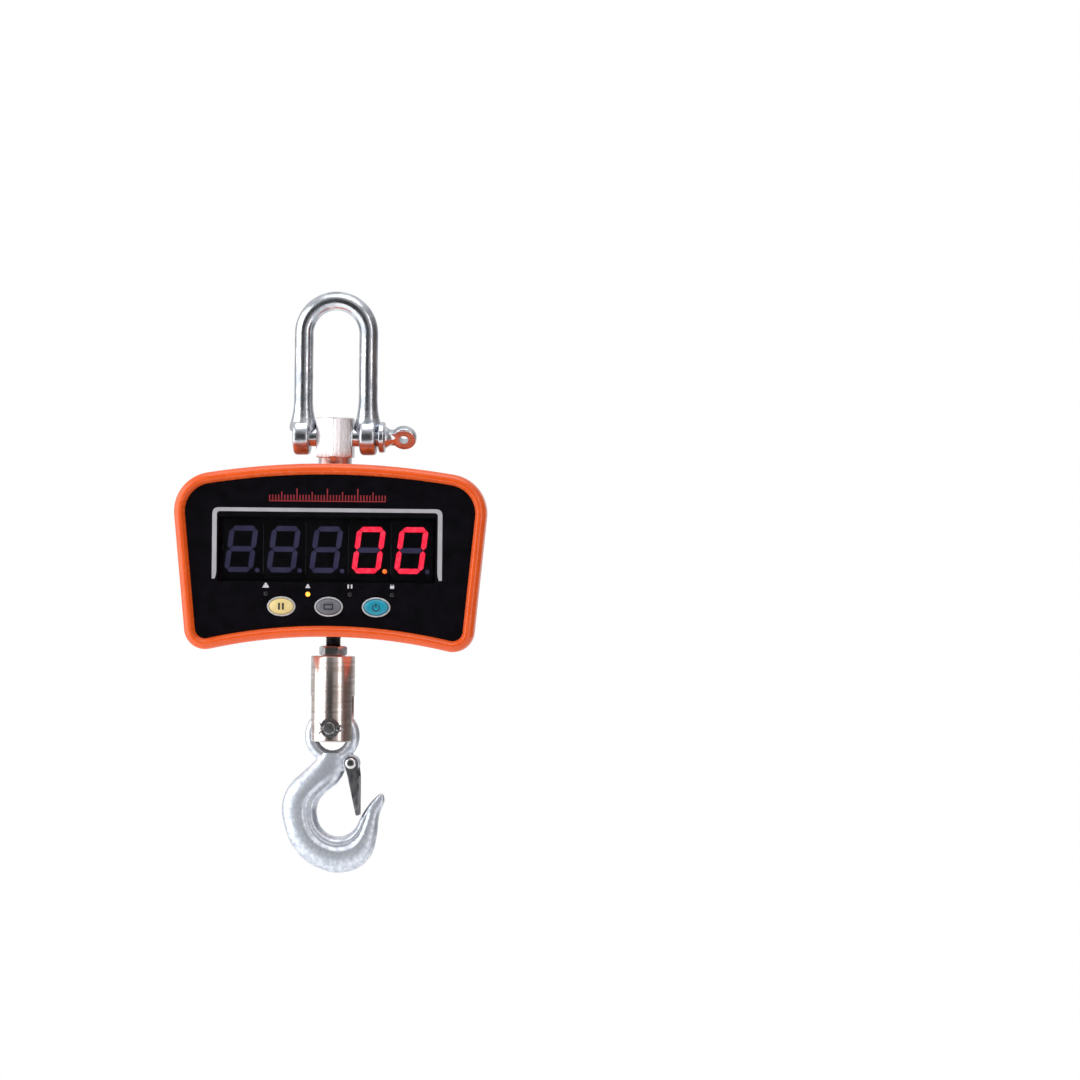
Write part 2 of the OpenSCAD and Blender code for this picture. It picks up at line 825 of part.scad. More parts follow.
module charging_socket() {
    color("#151517") {
        difference() {
            union() {
                bar_y(socket_x, socket_z, back_y - 16, cavity_back, socket_d);
                bar_y(socket_x, socket_z, cavity_back - 0.1, back_y - 0.4, socket_d - 3.2);
            }
            bar_y(socket_x, socket_z, back_y - 10, back_y + over, 5.6);
        }
        bar_y(socket_x, socket_z, back_y - 11, back_y - 2, 2);
    }
}

module rating_plate() {
    color("#c4c7ca") block(main_x - 6, cell_z + 6, plate_w, plate_h, back_y - 0.5, back_y - 0.1);
}

// ---- swivel ----

module lower_stud() {
    color("#1b1b1d") chamfered(stud_end, cell_foot + stem_grip - over, stud_d, 0.8);
}

module jam_nut() {
    color("#c6c8ca") difference() {
        hex_bar(barrel_top + gap, barrel_top + gap + nut_h, nut_af, 1, 0);
        bar_z(barrel_top, barrel_top + nut_h + over, stud_d + 2 * run);
    }
}

module swivel_barrel() {
    color("#cfc8c2") difference() {
        chamfered(barrel_foot, barrel_top, barrel_d, 1);
        bar_z(barrel_foot - over, bore_top, barrel_bore);
        bar_z(bore_top - over, barrel_top + over, stud_d + 0.4);
        translate([-barrel_d, -slot_w / 2, barrel_foot - over])
            cube([2 * barrel_d, slot_w, slot_top - barrel_foot + over]);
        bar_y(0, cross_z, -barrel_d, barrel_d, cross_d + 2 * run);
        for (s = [0, 1]) mirror([0, s, 0]) bar_y(0, cross_z, spot_y, barrel_d, washer_d + 0.6);
    }
}

// One flat race of the thrust bearing
module race(z, bore) {
    color("#d9dadb") difference() {
        chamfered(z, z + race_t, race_od, 0.3);
        bar_z(z - over, z + race_t + over, bore);
    }
}

module race_upper() { race(bore_top - race_t - 0.02, stud_d + 0.6); }
module race_lower() { race(race_low_z, stud_d + 0.1); }

module bearing_balls() {
    color("#e2e3e4") for (i = [0 : balls - 1]) rotate(360 * i / balls)
        translate([7, 0, race_low_z + race_t + 0.04 + ball_d / 2]) sphere(d = ball_d);
}

module swivel_nut() {
    color("#8e9296") difference() {
        hex_bar(race_low_z - swivel_nut_h, race_low_z, nut_af, 1);
        bar_z(race_low_z - swivel_nut_h - over, race_low_z + over, stud_d + 2 * run);
    }
}

module cross_pin() {
    color("#8f9296") difference() {
        union() {
            bar_y(0, cross_z, split_y - split_d / 2 - 2.4, spot_y + over, cross_d);
            bar_y(0, cross_z, spot_y, spot_y + 3, washer_d);
        }
        translate([0, split_y, cross_z]) bar_x(-cross_d, cross_d, split_d + 0.2);
    }
}

module pin_washer() {
    color("#9b9ea2") difference() {
        bar_y(0, cross_z, -spot_y - washer_t, -spot_y, washer_d);
        bar_y(0, cross_z, -barrel_d, 0, cross_d + 2 * run);
    }
}

module split_pin() {
    loop_r = 2.2;
    x = cross_d / 2 + 0.8;
    color("#6d7074") translate([0, split_y, cross_z]) {
        bar_x(-x - 0.4, x + 0.4, split_d);
        translate([x + loop_r, 0, 0]) rotate([90, 0, 0])
            rotate_extrude() translate([loop_r, 0]) circle(d = 1.3);
        for (s = [-1, 1]) translate([-x, 0, 0]) rotate([0, s * 60, 0]) bar_x(-4, 0, 1.3);
    }
}

// ---- hook ----

// Smooth value between the middle two of four numbers or vectors
function spline(a, b, c, d, t) =
    0.5 * (2 * b + (c - a) * t + (2 * a - 5 * b + 4 * c - d) * t * t + (3 * b - a - 3 * c + d) * t * t * t);
function station(i) = stations[max(0, min(len(stations) - 1, i))];
function blend(i, t) = spline(station(i - 1), station(i), station(i + 1), station(i + 2), t);
// The body's side outline, with its width shared out about its middle
module hook_side(share) {
    spans = len(stations) - 1;
    rows = [for (i = [0 : spans - 1], j = [0 : passes - 1]) blend(i, j / passes), station(spans)];
    inner = [for (s = rows) let (f = (1 - share) / 2) [s[0] * (1 - f) + s[2] * f, s[1] * (1 - f) + s[3] * f]];
    outer = [for (k = [len(rows) - 1 : -1 : 0]) let (s = rows[k], f = (1 - share) / 2)
        [s[2] * (1 - f) + s[0] * f, s[3] * (1 - f) + s[1] * f]];
    polygon(concat(inner, outer));
}

// Rounds the body in three layers, then thins it towards the neck and the tip
module hook_body() {
    intersection() {
        for (layer = hook_layers) slab(-layer[1] * hook_t / 2, layer[1] * hook_t / 2) hook_side(layer[0]);
        translate([-hook_reach, 0, 0]) rotate([90, 0, 90]) linear_extrude(2 * hook_reach)
            polygon(both_sides([[neck_t / 2, 0], [neck_t / 2, -19], [hook_t / 2, -42], [hook_t / 2, -3 * hook_reach]]));
        translate([0, 0, -3 * hook_reach]) linear_extrude(3 * hook_reach)
            polygon([for (q = both_sides([[hook_t / 2, -hook_reach], [hook_t / 2, 20], [tip_t / 2, hook_reach]]))
                [q[1], q[0]]]);
    }
}

// Closes a half outline by mirroring it about its second axis
function both_sides(half) = concat(half, [for (k = [len(half) - 1 : -1 : 0]) [-half[k][0], half[k][1]]]);

module hook() {
    color("#ccd4da") difference() {
        union() {
            translate([0, 0, eye_z]) {
                rotate([90, 0, 0]) rotate_extrude() translate([eye_r, 0]) circle(d = eye_wire_d);
                hook_body();
            }
            bar_y(rivet_x, rivet_z, -lug_t / 2, lug_t / 2, 2 * lug_r);
            bar_y(rivet_x - lug_r, rivet_z + 1, -lug_t / 2 + gap, lug_t / 2 - gap, 2 * lug_r + 1);
        }
        bar_y(rivet_x, rivet_z, -hook_t, hook_t, rivet_d + 2 * run);
    }
}

// The latch's side, seen from the front
module latch_side() {
    translate([rivet_x, rivet_z]) {
        circle(r = latch_boss_r);
        polygon([[-latch_boss_r, 0], [-2.2, -8], [3.6, -34.2], [5.7, -34.2], [5.6, -8], [latch_boss_r, 0]]);
    }
}

module latch() {
    color("#4b4c4f") difference() {
        union() {
            for (s = [0, 1]) mirror([0, s, 0]) slab(-cheek_out, -cheek_in) latch_side();
            slab(-cheek_in - 0.1, cheek_in + 0.1) intersection() {
                latch_side();
                translate([rivet_x + 4, rivet_z - 40]) square([4, 32]);
            }
        }
        bar_y(rivet_x, rivet_z, -hook_t, hook_t, rivet_d + 2 * run);
    }
}

module latch_rivet() {
    color("#b9bdc1") {
        bar_y(rivet_x, rivet_z, -cheek_out - 0.2, cheek_out + 0.2, rivet_d);
        for (s = [0, 1]) mirror([0, s, 0]) {
            bar_y(rivet_x, rivet_z, -cheek_out - 1.5, -cheek_out - 0.1, 7.4);
        }
    }
}

module latch_spring() {
    wire = 0.9;
    x = rivet_x + 1.6;
    color("#7c8084") {
        bar_z_at(x, rivet_z - 26, rivet_z - lug_r - 1, wire);
        bar_z_at(x + 1.4, rivet_z - 24, rivet_z - lug_r - 1, wire);
        translate([x, 0, rivet_z - lug_r - 1]) bar_x(0, 1.4, wire);
    }
}

// Thin upright wire at a given X
module bar_z_at(x, z0, z1, d) {
    translate([x, 0, 0]) bar_z(z0, z1, d);
}

shackle_bow();
shackle_pin();
hanger_block();
stem_nut();
top_grommet();
load_cell();
strain_gauges();
gauge_covers();
load_cell_cable();
front_housing();
rear_housing();
housing_seal();
housing_screws();
front_panel();
display_window();
digit_1();
digit_2();
digit_3();
digit_4();
digit_5();
display_board();
board_screws();
indicator_leds();
key_rings();
key_hold();
key_zero();
key_power();
key_switches();
main_board();
standoffs();
buzzer();
battery_tray();
battery_cells();
battery_contacts();
battery_door();
door_seal();
charging_socket();
rating_plate();
bottom_grommet();
lower_stud();
jam_nut();
swivel_barrel();
race_upper();
race_lower();
bearing_balls();
swivel_nut();
cross_pin();
pin_washer();
split_pin();
hook();
latch();
latch_spring();
latch_rivet();
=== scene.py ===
# Looks for the hanging crane scale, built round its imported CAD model.
# Lengths are in millimetres until MM turns them to metres; +Z is up and the front faces -Y.
import json
import math

import bmesh
import bpy
from mathutils import Matrix, Vector

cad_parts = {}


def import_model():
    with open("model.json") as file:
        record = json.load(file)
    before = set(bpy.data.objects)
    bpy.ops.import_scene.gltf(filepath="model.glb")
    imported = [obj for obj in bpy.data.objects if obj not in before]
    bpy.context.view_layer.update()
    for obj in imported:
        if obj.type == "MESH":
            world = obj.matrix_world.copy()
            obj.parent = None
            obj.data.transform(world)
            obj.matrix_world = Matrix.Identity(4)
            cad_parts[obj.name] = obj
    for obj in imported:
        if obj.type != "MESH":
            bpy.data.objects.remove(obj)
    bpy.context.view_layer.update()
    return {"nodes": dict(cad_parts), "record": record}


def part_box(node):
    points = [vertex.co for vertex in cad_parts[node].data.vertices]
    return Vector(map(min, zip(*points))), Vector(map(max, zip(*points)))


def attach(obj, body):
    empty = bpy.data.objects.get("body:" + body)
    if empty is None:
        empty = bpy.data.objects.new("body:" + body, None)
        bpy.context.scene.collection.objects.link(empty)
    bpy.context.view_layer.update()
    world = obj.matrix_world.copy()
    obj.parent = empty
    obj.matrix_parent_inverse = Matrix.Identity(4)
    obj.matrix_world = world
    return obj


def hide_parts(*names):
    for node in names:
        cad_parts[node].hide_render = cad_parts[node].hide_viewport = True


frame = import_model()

MM = 0.001
TAU = 2 * math.pi

# ---- materials ----


def srgb(code):
    """A colour written as #RRGGBB, as linear RGBA."""
    part = [int(code[i:i + 2], 16) / 255 for i in (1, 3, 5)]
    return tuple(c / 12.92 if c <= 0.04045 else ((c + 0.055) / 1.055) ** 2.4 for c in part) + (1.0,)


def add(tree, kind, links=None, **settings):
    """Adds one node. A setting names an input socket or a property; a link names an input and gives its source."""
    node = tree.nodes.new("ShaderNode" + kind)
    for name, value in settings.items():
        name = name.replace("_", " ") if name.replace("_", " ") in node.inputs else name
        if name in node.inputs:
            node.inputs[name].default_value = value
        else:
            setattr(node, name, value)
    for name, source in (links or {}).items():
        tree.links.new(source, node.inputs[name])
    return node


def ramp(tree, source, *stops):
    """A colour ramp of (place, colour) stops, read from a 0 to 1 source."""
    node = add(tree, "ValToRGB", {"Fac": source})
    points = node.color_ramp.elements
    for _ in stops[2:]:
        points.new(0.5)
    for point, (place, colour) in zip(points, stops):
        point.position, point.color = place, colour if len(colour) == 4 else srgb(colour)
    return node.outputs["Color"]


def grey(value):
    return (value, value, value, 1.0)


def surface(name, colour, **settings):
    """A new material, its node tree, its Principled shader, and its position socket in metres."""
    material = bpy.data.materials.new(name)
    material.use_nodes = True
    tree = material.node_tree
    shader = tree.nodes["Principled BSDF"]
    shader.inputs["Base Color"].default_value = srgb(colour)
    for key, value in settings.items():
        shader.inputs[key.replace("_", " ")].default_value = value
    place = add(tree, "TexCoord").outputs["Object"]
    return material, tree, shader, place


def grain(tree, place, size, detail=2.0, stretch=(1, 1, 1)):
    """Noise whose grains are size millimetres across, drawn out along an axis where stretch is under 1."""
    scaled = add(tree, "Mapping", {"Vector": place}, Scale=stretch).outputs["Vector"]
    return add(tree, "TexNoise", {"Vector": scaled}, Scale=1 / (size * MM), Detail=detail).outputs["Fac"]


def bump(tree, shader, height, depth, strength=1.0):
    """Raises the surface by depth millimetres where height is 1."""
    node = add(tree, "Bump", {"Height": height}, Strength=strength, Distance=depth * MM)
    tree.links.new(node.outputs["Normal"], shader.inputs["Normal"])


def worn(tree, colour_low, colour_high, source, low=0.35, high=0.65):
    return ramp(tree, source, (low, colour_low), (high, colour_high))


def metal(name, dark, light, rough_low, rough_high, size, depth, stretch=(1, 1, 1), detail=3.0):
    """A metal whose colour and gloss drift with one coarse grain, and whose surface has a finer one."""
    material, tree, shader, place = surface(name, light, Metallic=1.0)
    coarse = grain(tree, place, size * 6, detail, stretch)
    fine = grain(tree, place, size, detail, stretch)
    tree.links.new(worn(tree, dark, light, coarse), shader.inputs["Base Color"])
    tree.links.new(ramp(tree, coarse, (0.3, grey(rough_high)), (0.7, grey(rough_low))),
                   shader.inputs["Roughness"])
    bump(tree, shader, fine, depth)
    return material


def zinc_plated_forging():
    # Drop-forged steel, barrel-zinced: bright cool grey, with the forging's soft hammer grain mottling it
    return metal("zinc_plated_forging", "#AEB3BC", "#E4E8EE", 0.16, 0.30, 1.6, 0.10)


def tumbled_zinc_hook():
    # Cast-grained steel hook, tumbled and zinced: paler and duller than the bow, finely sandy
    return metal("tumbled_zinc_hook", "#C3CBD8", "#E9EEF6", 0.39, 0.49, 0.45, 0.015)


def bright_zinc_fittings():
    # Small turned and pressed fittings in bright zinc: crisp and even, hardly any grain
    return metal("bright_zinc_fittings", "#C2C4C8", "#E9EAEC", 0.14, 0.24, 0.7, 0.015)


def brushed_steel():
    # Machined bar brushed along its length: fine upright lines that stretch highlights
    return metal("brushed_steel", "#C9C3C6", "#EFECEE", 0.20, 0.32, 0.25, 0.03, (1, 1, 0.03))


def satin_nickel_barrel():
    # Turned barrel in warm satin nickel: faint rings from the lathe round it, warm reflections
    return metal("satin_nickel_barrel", "#CDBFB8", "#EFE6E1", 0.19, 0.26, 0.35, 0.006, (0.1, 0.1, 1))


def scuffed_pin_steel():
    # Plain steel pin with handling marks: darker, mottled and blotchy
    return metal("scuffed_pin_steel", "#5C5A5C", "#C6C6C8", 0.22, 0.42, 0.5, 0.05)


def blackened_steel():
    # Oiled black-oxide stud: nearly black with a low grey sheen
    return metal("blackened_steel", "#151517", "#2A2A2D", 0.34, 0.5, 0.4, 0.02)


def pressed_latch_steel():
    # Pressed spring-steel latch, raw and oily: dark grey with lighter speckle along the grain
    return metal("pressed_latch_steel", "#4A4A4E", "#8D8E93", 0.3, 0.48, 0.5, 0.05, (1, 1, 0.4))


def milled_aluminium():
    # Milled aluminium alloy block: pale satin with shallow cutter lines
    return metal("milled_aluminium", "#B9BDC1", "#DADDE0", 0.28, 0.4, 0.4, 0.02, (1, 1, 0.1))


def plated_brass():
    # Nickelled brass springs and spacers: warm pale metal
    return metal("plated_brass", "#B89B5E", "#DCC48C", 0.2, 0.32, 0.5, 0.01)


def moulded_abs(name, shade, deep, light, rough=0.3, coat=0.0, texture=0.35, depth=0.008):
    """Injection-moulded plastic: even colour that drifts slightly, over a fine spark-eroded texture."""
    material, tree, shader, place = surface(name, shade, IOR=1.53)
    shader.inputs["Coat Weight"].default_value = coat
    shader.inputs["Coat Roughness"].default_value = 0.08
    drift = grain(tree, place, 9, 2.0)
    tree.links.new(worn(tree, deep, light, drift, 0.3, 0.7), shader.inputs["Base Color"])
    tree.links.new(ramp(tree, drift, (0.3, grey(rough * 0.85)), (0.7, grey(rough * 1.15))),
                   shader.inputs["Roughness"])
    bump(tree, shader, grain(tree, place, texture, 2.0), depth)
    return material


def orange_abs():
    # Glossy moulded ABS: saturated orange with a clear highlight along each rounded edge
    return moulded_abs("orange_moulded_abs", "#EE5A16", "#EA5613", "#F15E19", 0.26, 0.15, 0.3, 0.004)


def black_rubber():
    # Moulded nitrile rubber: matt charcoal, its fine skin scatters the light
    return moulded_abs("black_moulded_rubber", "#17171A", "#121214", "#1F1F22", 0.7, 0.0, 0.2, 0.02)


def black_nylon():
    # Moulded glass-filled nylon: dark and satin, with a faint flow mottle
    return moulded_abs("black_moulded_nylon", "#19191C", "#141416", "#232326", 0.45, 0.0, 0.4, 0.01)


def glossy_panel_film():
    # Back-printed polyester film: near black, mirror-smooth, with a trace of orange peel
    return moulded_abs("back_printed_film", "#0B0A0F", "#070609", "#100E14", 0.12, 0.0, 4.0, 0.006)


def smoked_acrylic():
    # Cast acrylic tinted brown-black: the digits show through it and its face mirrors the room
    material, tree, shader, place = surface("smoked_cast_acrylic", "#07060A", IOR=1.49, Alpha=0.22)
    shader.inputs["Specular IOR Level"].default_value = 0.2
    clouds = grain(tree, place, 12, 2.0)
    tree.links.new(worn(tree, "#050407", "#0C0A10", clouds), shader.inputs["Base Color"])
    tree.links.new(ramp(tree, clouds, (0.3, grey(0.04)), (0.7, grey(0.09))), shader.inputs["Roughness"])
    return material


def digit_body():
    # Black epoxy-filled digit module: matt so that an unlit segment stays quiet
    material = moulded_abs("epoxy_digit_body", "#040407", "#030305", "#060609", 0.6, 0.0, 0.3, 0.005)
    material.node_tree.nodes["Principled BSDF"].inputs["Specular IOR Level"].default_value = 0.1
    return material


def unlit_segment():
    # Milky light well with its lamp off: bluish charcoal
    return moulded_abs("unlit_light_well", "#4B4974", "#46446E", "#504E7A", 0.5, 0.0, 0.6, 0.004)


def glow(name, core, edge, strength, size):
    """A lit diffuser: brighter and paler where the lamp is, deeper between."""
    material, tree, shader, place = surface(name, edge, Roughness=0.4)
    cloud = grain(tree, place, size, 1.0)
    colour = worn(tree, edge, core, cloud, 0.35, 0.7)
    tree.links.new(colour, shader.inputs["Base Color"])
    tree.links.new(colour, shader.inputs["Emission Color"])
    shader.inputs["Emission Strength"].default_value = strength
    return material


def lit_red_segment():
    # Red LED behind a diffuser: full red with a slight pink heart
    return glow("lit_red_diffuser", "#FF3A55", "#F01838", 1.5, 3.0)


def lit_orange_point():
    # The decimal point's lamp, seen as orange
    return glow("lit_orange_diffuser", "#FF8A3C", "#FF5A22", 1.7, 1.5)


def lit_amber_lamp():
    # Amber indicator, yellow at its heart
    return glow("lit_amber_lamp", "#FFD65A", "#FF8A1E", 1.6, 1.2)


def dark_lamp():
    # The same lamp switched off: smoky clear epoxy over a dark hollow
    return moulded_abs("unlit_epoxy_lamp", "#1B1418", "#141014", "#221A1E", 0.15, 0.0, 0.8, 0.004)


def printed_ink(name, colour, deep):
    # Screen-printed ink: even and matt, very slightly patchy at its edges
    return moulded_abs(name, colour, deep, colour, 0.5, 0.0, 0.4, 0.002)


def silver_ring():
    # Pearl-silver paint on the key's moulded rim
    material = metal("silver_painted_rim", "#C9CACE", "#EDEEF0", 0.3, 0.4, 0.3, 0.006)
    material.node_tree.nodes["Principled BSDF"].inputs["Metallic"].default_value = 0.4
    return material


def silicone_key(name, colour, deep, light):
    # Cast silicone key: soft sheen over a very slightly uneven dome
    return moulded_abs(name, colour, deep, light, 0.36, 0.15, 0.5, 0.01)


def circuit_laminate():
    # Green solder mask over glass cloth: a woven grid under a glossy lacquer
    material, tree, shader, place = surface("circuit_laminate", "#1F5C36", Roughness=0.3, Coat_Weight=0.5)
    weave = add(tree, "TexChecker", {"Vector": place}, Scale=1 / (0.8 * MM)).outputs["Fac"]
    cloud = grain(tree, place, 5, 2.0)
    mixed = add(tree, "Math", {0: weave, 1: cloud}, operation="MULTIPLY_ADD")
    mixed.inputs[2].default_value = 0.2
    tree.links.new(worn(tree, "#17492B", "#266B40", mixed.outputs[0], 0.2, 0.9), shader.inputs["Base Color"])
    bump(tree, shader, weave, 0.01)
    return material


def gauge_foil():
    # Etched foil gauge on amber polyimide: thin copper lines across it
    material, tree, shader, place = surface("etched_gauge_foil", "#C79A3C", Roughness=0.35, Metallic=0.3)
    lines = add(tree, "TexWave", {"Vector": place}, Scale=1 / (0.5 * MM) / 20, Distortion=0.4).outputs["Fac"]
    tree.links.new(worn(tree, "#A9772A", "#DDB667", lines), shader.inputs["Base Color"])
    bump(tree, shader, lines, 0.01)
    return material


def printed_wrap():
    # Heat-shrunk battery wrap: smooth blue film with fine shrink ripples
    return moulded_abs("shrunk_battery_wrap", "#2C6FB5", "#2563A4", "#347BC4", 0.25, 0.3, 1.4, 0.02)


def anodised_plate():
    # Brushed, clear-anodised label plate: fine level brushing
    return metal("anodised_label_plate", "#B4B7BB", "#D6D8DB", 0.3, 0.42, 0.25, 0.01, (0.05, 1, 1))


FINISHES = {
    "zinc_forging": zinc_plated_forging(),
    "zinc_hook": tumbled_zinc_hook(),
    "zinc_fittings": bright_zinc_fittings(),
    "machined_steel": brushed_steel(),
    "barrel_chrome": satin_nickel_barrel(),
    "pin_steel": scuffed_pin_steel(),
    "black_steel": blackened_steel(),
    "latch_steel": pressed_latch_steel(),
    "orange_housing": orange_abs(),
    "seal_rubber": black_rubber(),
    "panel_black": glossy_panel_film(),
    "window_tint": smoked_acrylic(),
    "digit_body": digit_body(),
    "segment_off": unlit_segment(),
    "segment_on": lit_red_segment(),
    "point_on": lit_orange_point(),
    "led_amber": lit_amber_lamp(),
    "led_off": dark_lamp(),
    "circuit_green": circuit_laminate(),
    "black_plastic": black_nylon(),
    "trim_silver": silver_ring(),
    "key_yellow": silicone_key("cream_silicone_key", "#EBD48F", "#E2C87E", "#F1DC9C"),
    "key_grey": silicone_key("grey_silicone_key", "#6A6A72", "#606068", "#75757E"),
    "key_teal": silicone_key("teal_silicone_key", "#0E93AF", "#0B86A0", "#159FBB"),
    "cell_aluminium": milled_aluminium(),
    "gauge_foil": gauge_foil(),
    "cell_wrap": printed_wrap(),
    "brass_parts": plated_brass(),
    "plate_grey": anodised_plate(),
    "ink_silver": printed_ink("silver_printed_ink", "#B5B3B8", "#A9A7AD"),
    "ink_white": printed_ink("white_printed_ink", "#D9D7DC", "#C9C7CD"),
    "ink_red": printed_ink("red_printed_ink", "#9A1F2A", "#861A24"),
    "ink_dark": printed_ink("charcoal_printed_ink", "#26262C", "#1D1D22"),
}

# ---- shapes: each is a list of points in millimetres and a list of faces ----


def loft(loops, ring=False):
    """Joins loops of equal length. The first and last are capped, or joined if ring is true."""
    count, rows = len(loops[0]), len(loops)
    faces = []
    for i in range(rows if ring else rows - 1):
        a, b = i * count, (i + 1) % rows * count
        faces += [(a + j, a + (j + 1) % count, b + (j + 1) % count, b + j) for j in range(count)]
    if not ring:
        faces += [tuple(range(count)), tuple(range((rows - 1) * count, rows * count))]
    return [tuple(p) for loop in loops for p in loop], faces


def along(axis, across, up, length):
    """A point given by two numbers across an axis and one along it."""
    return {"X": (length, across, up), "Y": (across, length, up), "Z": (across, up, length)}[axis]


def lathe(profile, axis="Z", at=(0, 0, 0), steps=96, ring=False):
    """Turns a profile of (radius, distance along the axis) points."""
    turns = [TAU * k / steps for k in range(steps)]
    loops = [[Vector(along(axis, r * math.cos(a), r * math.sin(a), h)) + Vector(at) for a in turns]
             for r, h in profile]
    return loft(loops, ring)


def soften(path, radius, steps=4, closed=False):
    """Rounds the corners of a flat path, each by radius or by as much as its sides allow."""
    out = []
    for i, corner in enumerate(path):
        if not closed and i in (0, len(path) - 1):
            out.append(tuple(corner))
            continue
        corner = Vector(corner)
        before, after = Vector(path[i - 1]) - corner, Vector(path[(i + 1) % len(path)]) - corner
        start = corner + before.normalized() * min(radius, 0.49 * before.length)
        end = corner + after.normalized() * min(radius, 0.49 * after.length)
        out += [tuple(start * (1 - t) ** 2 + corner * 2 * t * (1 - t) + end * t * t)
                for t in (k / steps for k in range(steps + 1))]
    return out


def bar(axis, low, high, radius, at=(0, 0, 0), edge=0.3, steps=64):
    """A round bar with softened ends."""
    path = [(radius * 0.3, low), (radius, low), (radius, high), (radius * 0.3, high)]
    return lathe(soften(path, edge, 3), axis, at, steps)


def prism(outline, front, back):
    """An outline in X and Z, drawn from the front to the back."""
    return loft([[(x, y, z) for x, z in outline] for y in (front, back)])


def rectangle(x, z, width, height):
    return [(x + sx * width / 2, z + sz * height / 2) for sx, sz in ((-1, -1), (1, -1), (1, 1), (-1, 1))]


def ellipse(x, z, width, height, steps=64):
    return [(x + width / 2 * math.cos(TAU * k / steps), z + height / 2 * math.sin(TAU * k / steps))
            for k in range(steps)]


def tube(path, radii, sides=24, closed=False):
    """A round tube along a path. radii is one radius, or one for each point."""
    path = [Vector(p) for p in path]
    radii = radii if isinstance(radii, list) else [radii] * len(path)
    last = len(path) - 1
    heading = [(path[(i + 1) % len(path) if closed else min(i + 1, last)]
                - path[i - 1 if closed else max(i - 1, 0)]).normalized() for i in range(len(path))]
    side = heading[0].orthogonal().normalized()
    loops = []
    for point, ahead, radius in zip(path, heading, radii):
        side = (side - ahead * side.dot(ahead)).normalized()
        other = ahead.cross(side)
        loops.append([point + radius * (side * math.cos(a) + other * math.sin(a))
                      for a in (TAU * k / sides for k in range(sides))])
    return loft(loops, closed)


def turned(shape, angle, axis, about=(0, 0, 0)):
    """A shape turned by degrees about an axis through a point."""
    turn = Matrix.Rotation(math.radians(angle), 4, axis)
    return [tuple(turn @ (Vector(p) - Vector(about)) + Vector(about)) for p in shape[0]], shape[1]


def joined(*shapes):
    """Several shapes as one."""
    points, faces = [], []
    for more, their in shapes:
        faces += [tuple(i + len(points) for i in face) for face in their]
        points += more
    return points, faces


def mesh_of(shape, name, scale=1.0):
    mesh = bpy.data.meshes.new(name)
    mesh.from_pydata([Vector(p) * scale for p in shape[0]], [], shape[1])
    work = bmesh.new()
    work.from_mesh(mesh)
    bmesh.ops.recalc_face_normals(work, faces=work.faces)
    work.to_mesh(mesh)
    work.free()
    return mesh


def worked(shape, *steps):
    """A shape after modifiers. Each step is a modifier's type and its settings; a shape among them is a cutter."""
    made = []

    def temporary(thing):
        made.append(bpy.data.objects.new("temporary", mesh_of(thing, "temporary")))
        bpy.context.scene.collection.objects.link(made[-1])
        return made[-1]

    main = temporary(shape)
    for kind, settings in steps:
        modifier = main.modifiers.new(kind, kind)
        for key, value in settings.items():
            setattr(modifier, key, temporary(value) if key == "object" else value)
    bpy.context.view_layer.update()
    result = main.evaluated_get(bpy.context.evaluated_depsgraph_get()).to_mesh()
    out = [tuple(v.co) for v in result.vertices], [tuple(f.vertices) for f in result.polygons]
    for thing in made:
        bpy.data.objects.remove(thing)
    return out


def op(operation, shape):
    return "BOOLEAN", {"operation": operation, "object": shape, "solver": "EXACT"}


def cut(*shapes):
    return [op("DIFFERENCE", shape) for shape in shapes]


def rounded(width, segments=2, angle=30):
    return "BEVEL", {"width": width, "segments": segments, "limit_method": "ANGLE",
                     "angle_limit": math.radians(angle), "use_clamp_overlap": True}


def forged(voxel, passes, *shapes):
    """Overlapping shapes melted into one skin with soft inner corners, as a forging has."""
    return worked(joined(*shapes), ("REMESH", {"mode": "VOXEL", "voxel_size": voxel}),
                  ("SMOOTH", {"factor": 0.5, "iterations": passes}))


def piece(name, shape, finish, body, nodes=(), sharp=32, extra=()):
    """One visible piece, riding on a body in place of its CAD nodes. extra is (finish, first face) pairs."""
    mesh = mesh_of(shape, name, MM)
    obj = bpy.data.objects.new(name, mesh)
    bpy.context.scene.collection.objects.link(obj)
    mesh.materials.append(FINISHES[finish])
    for index, (other, first) in enumerate(extra):
        mesh.materials.append(FINISHES[other])
        for face in list(mesh.polygons)[first:]:
            face.material_index = index + 1
    mesh.polygons.foreach_set("use_smooth", [True] * len(mesh.polygons))
    mesh.set_sharp_from_angle(angle=math.radians(sharp))
    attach(obj, body)
    if nodes:
        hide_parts(*nodes)
    return obj


def nut(low, high, flats, bore, spin):
    """A hexagonal nut on the Z axis with chamfered corners."""
    corner = flats / math.cos(math.pi / 6) / 2
    hexagon = [[(corner * math.cos(a), corner * math.sin(a), z)
                for a in (math.radians(60 * k + spin) for k in range(6))] for z in (low, high)]
    chamfer = lathe([(flats * 0.49, low), (corner, low + 1), (corner, high - 1), (flats * 0.49, high)], steps=72)
    steps = [op("INTERSECT", chamfer)]
    if bore:
        steps += cut(bar("Z", low - 1, high + 1, bore, edge=0.01))
    return worked(loft(hexagon), *steps, rounded(0.25))


# ---- sizes shared with the CAD model ----

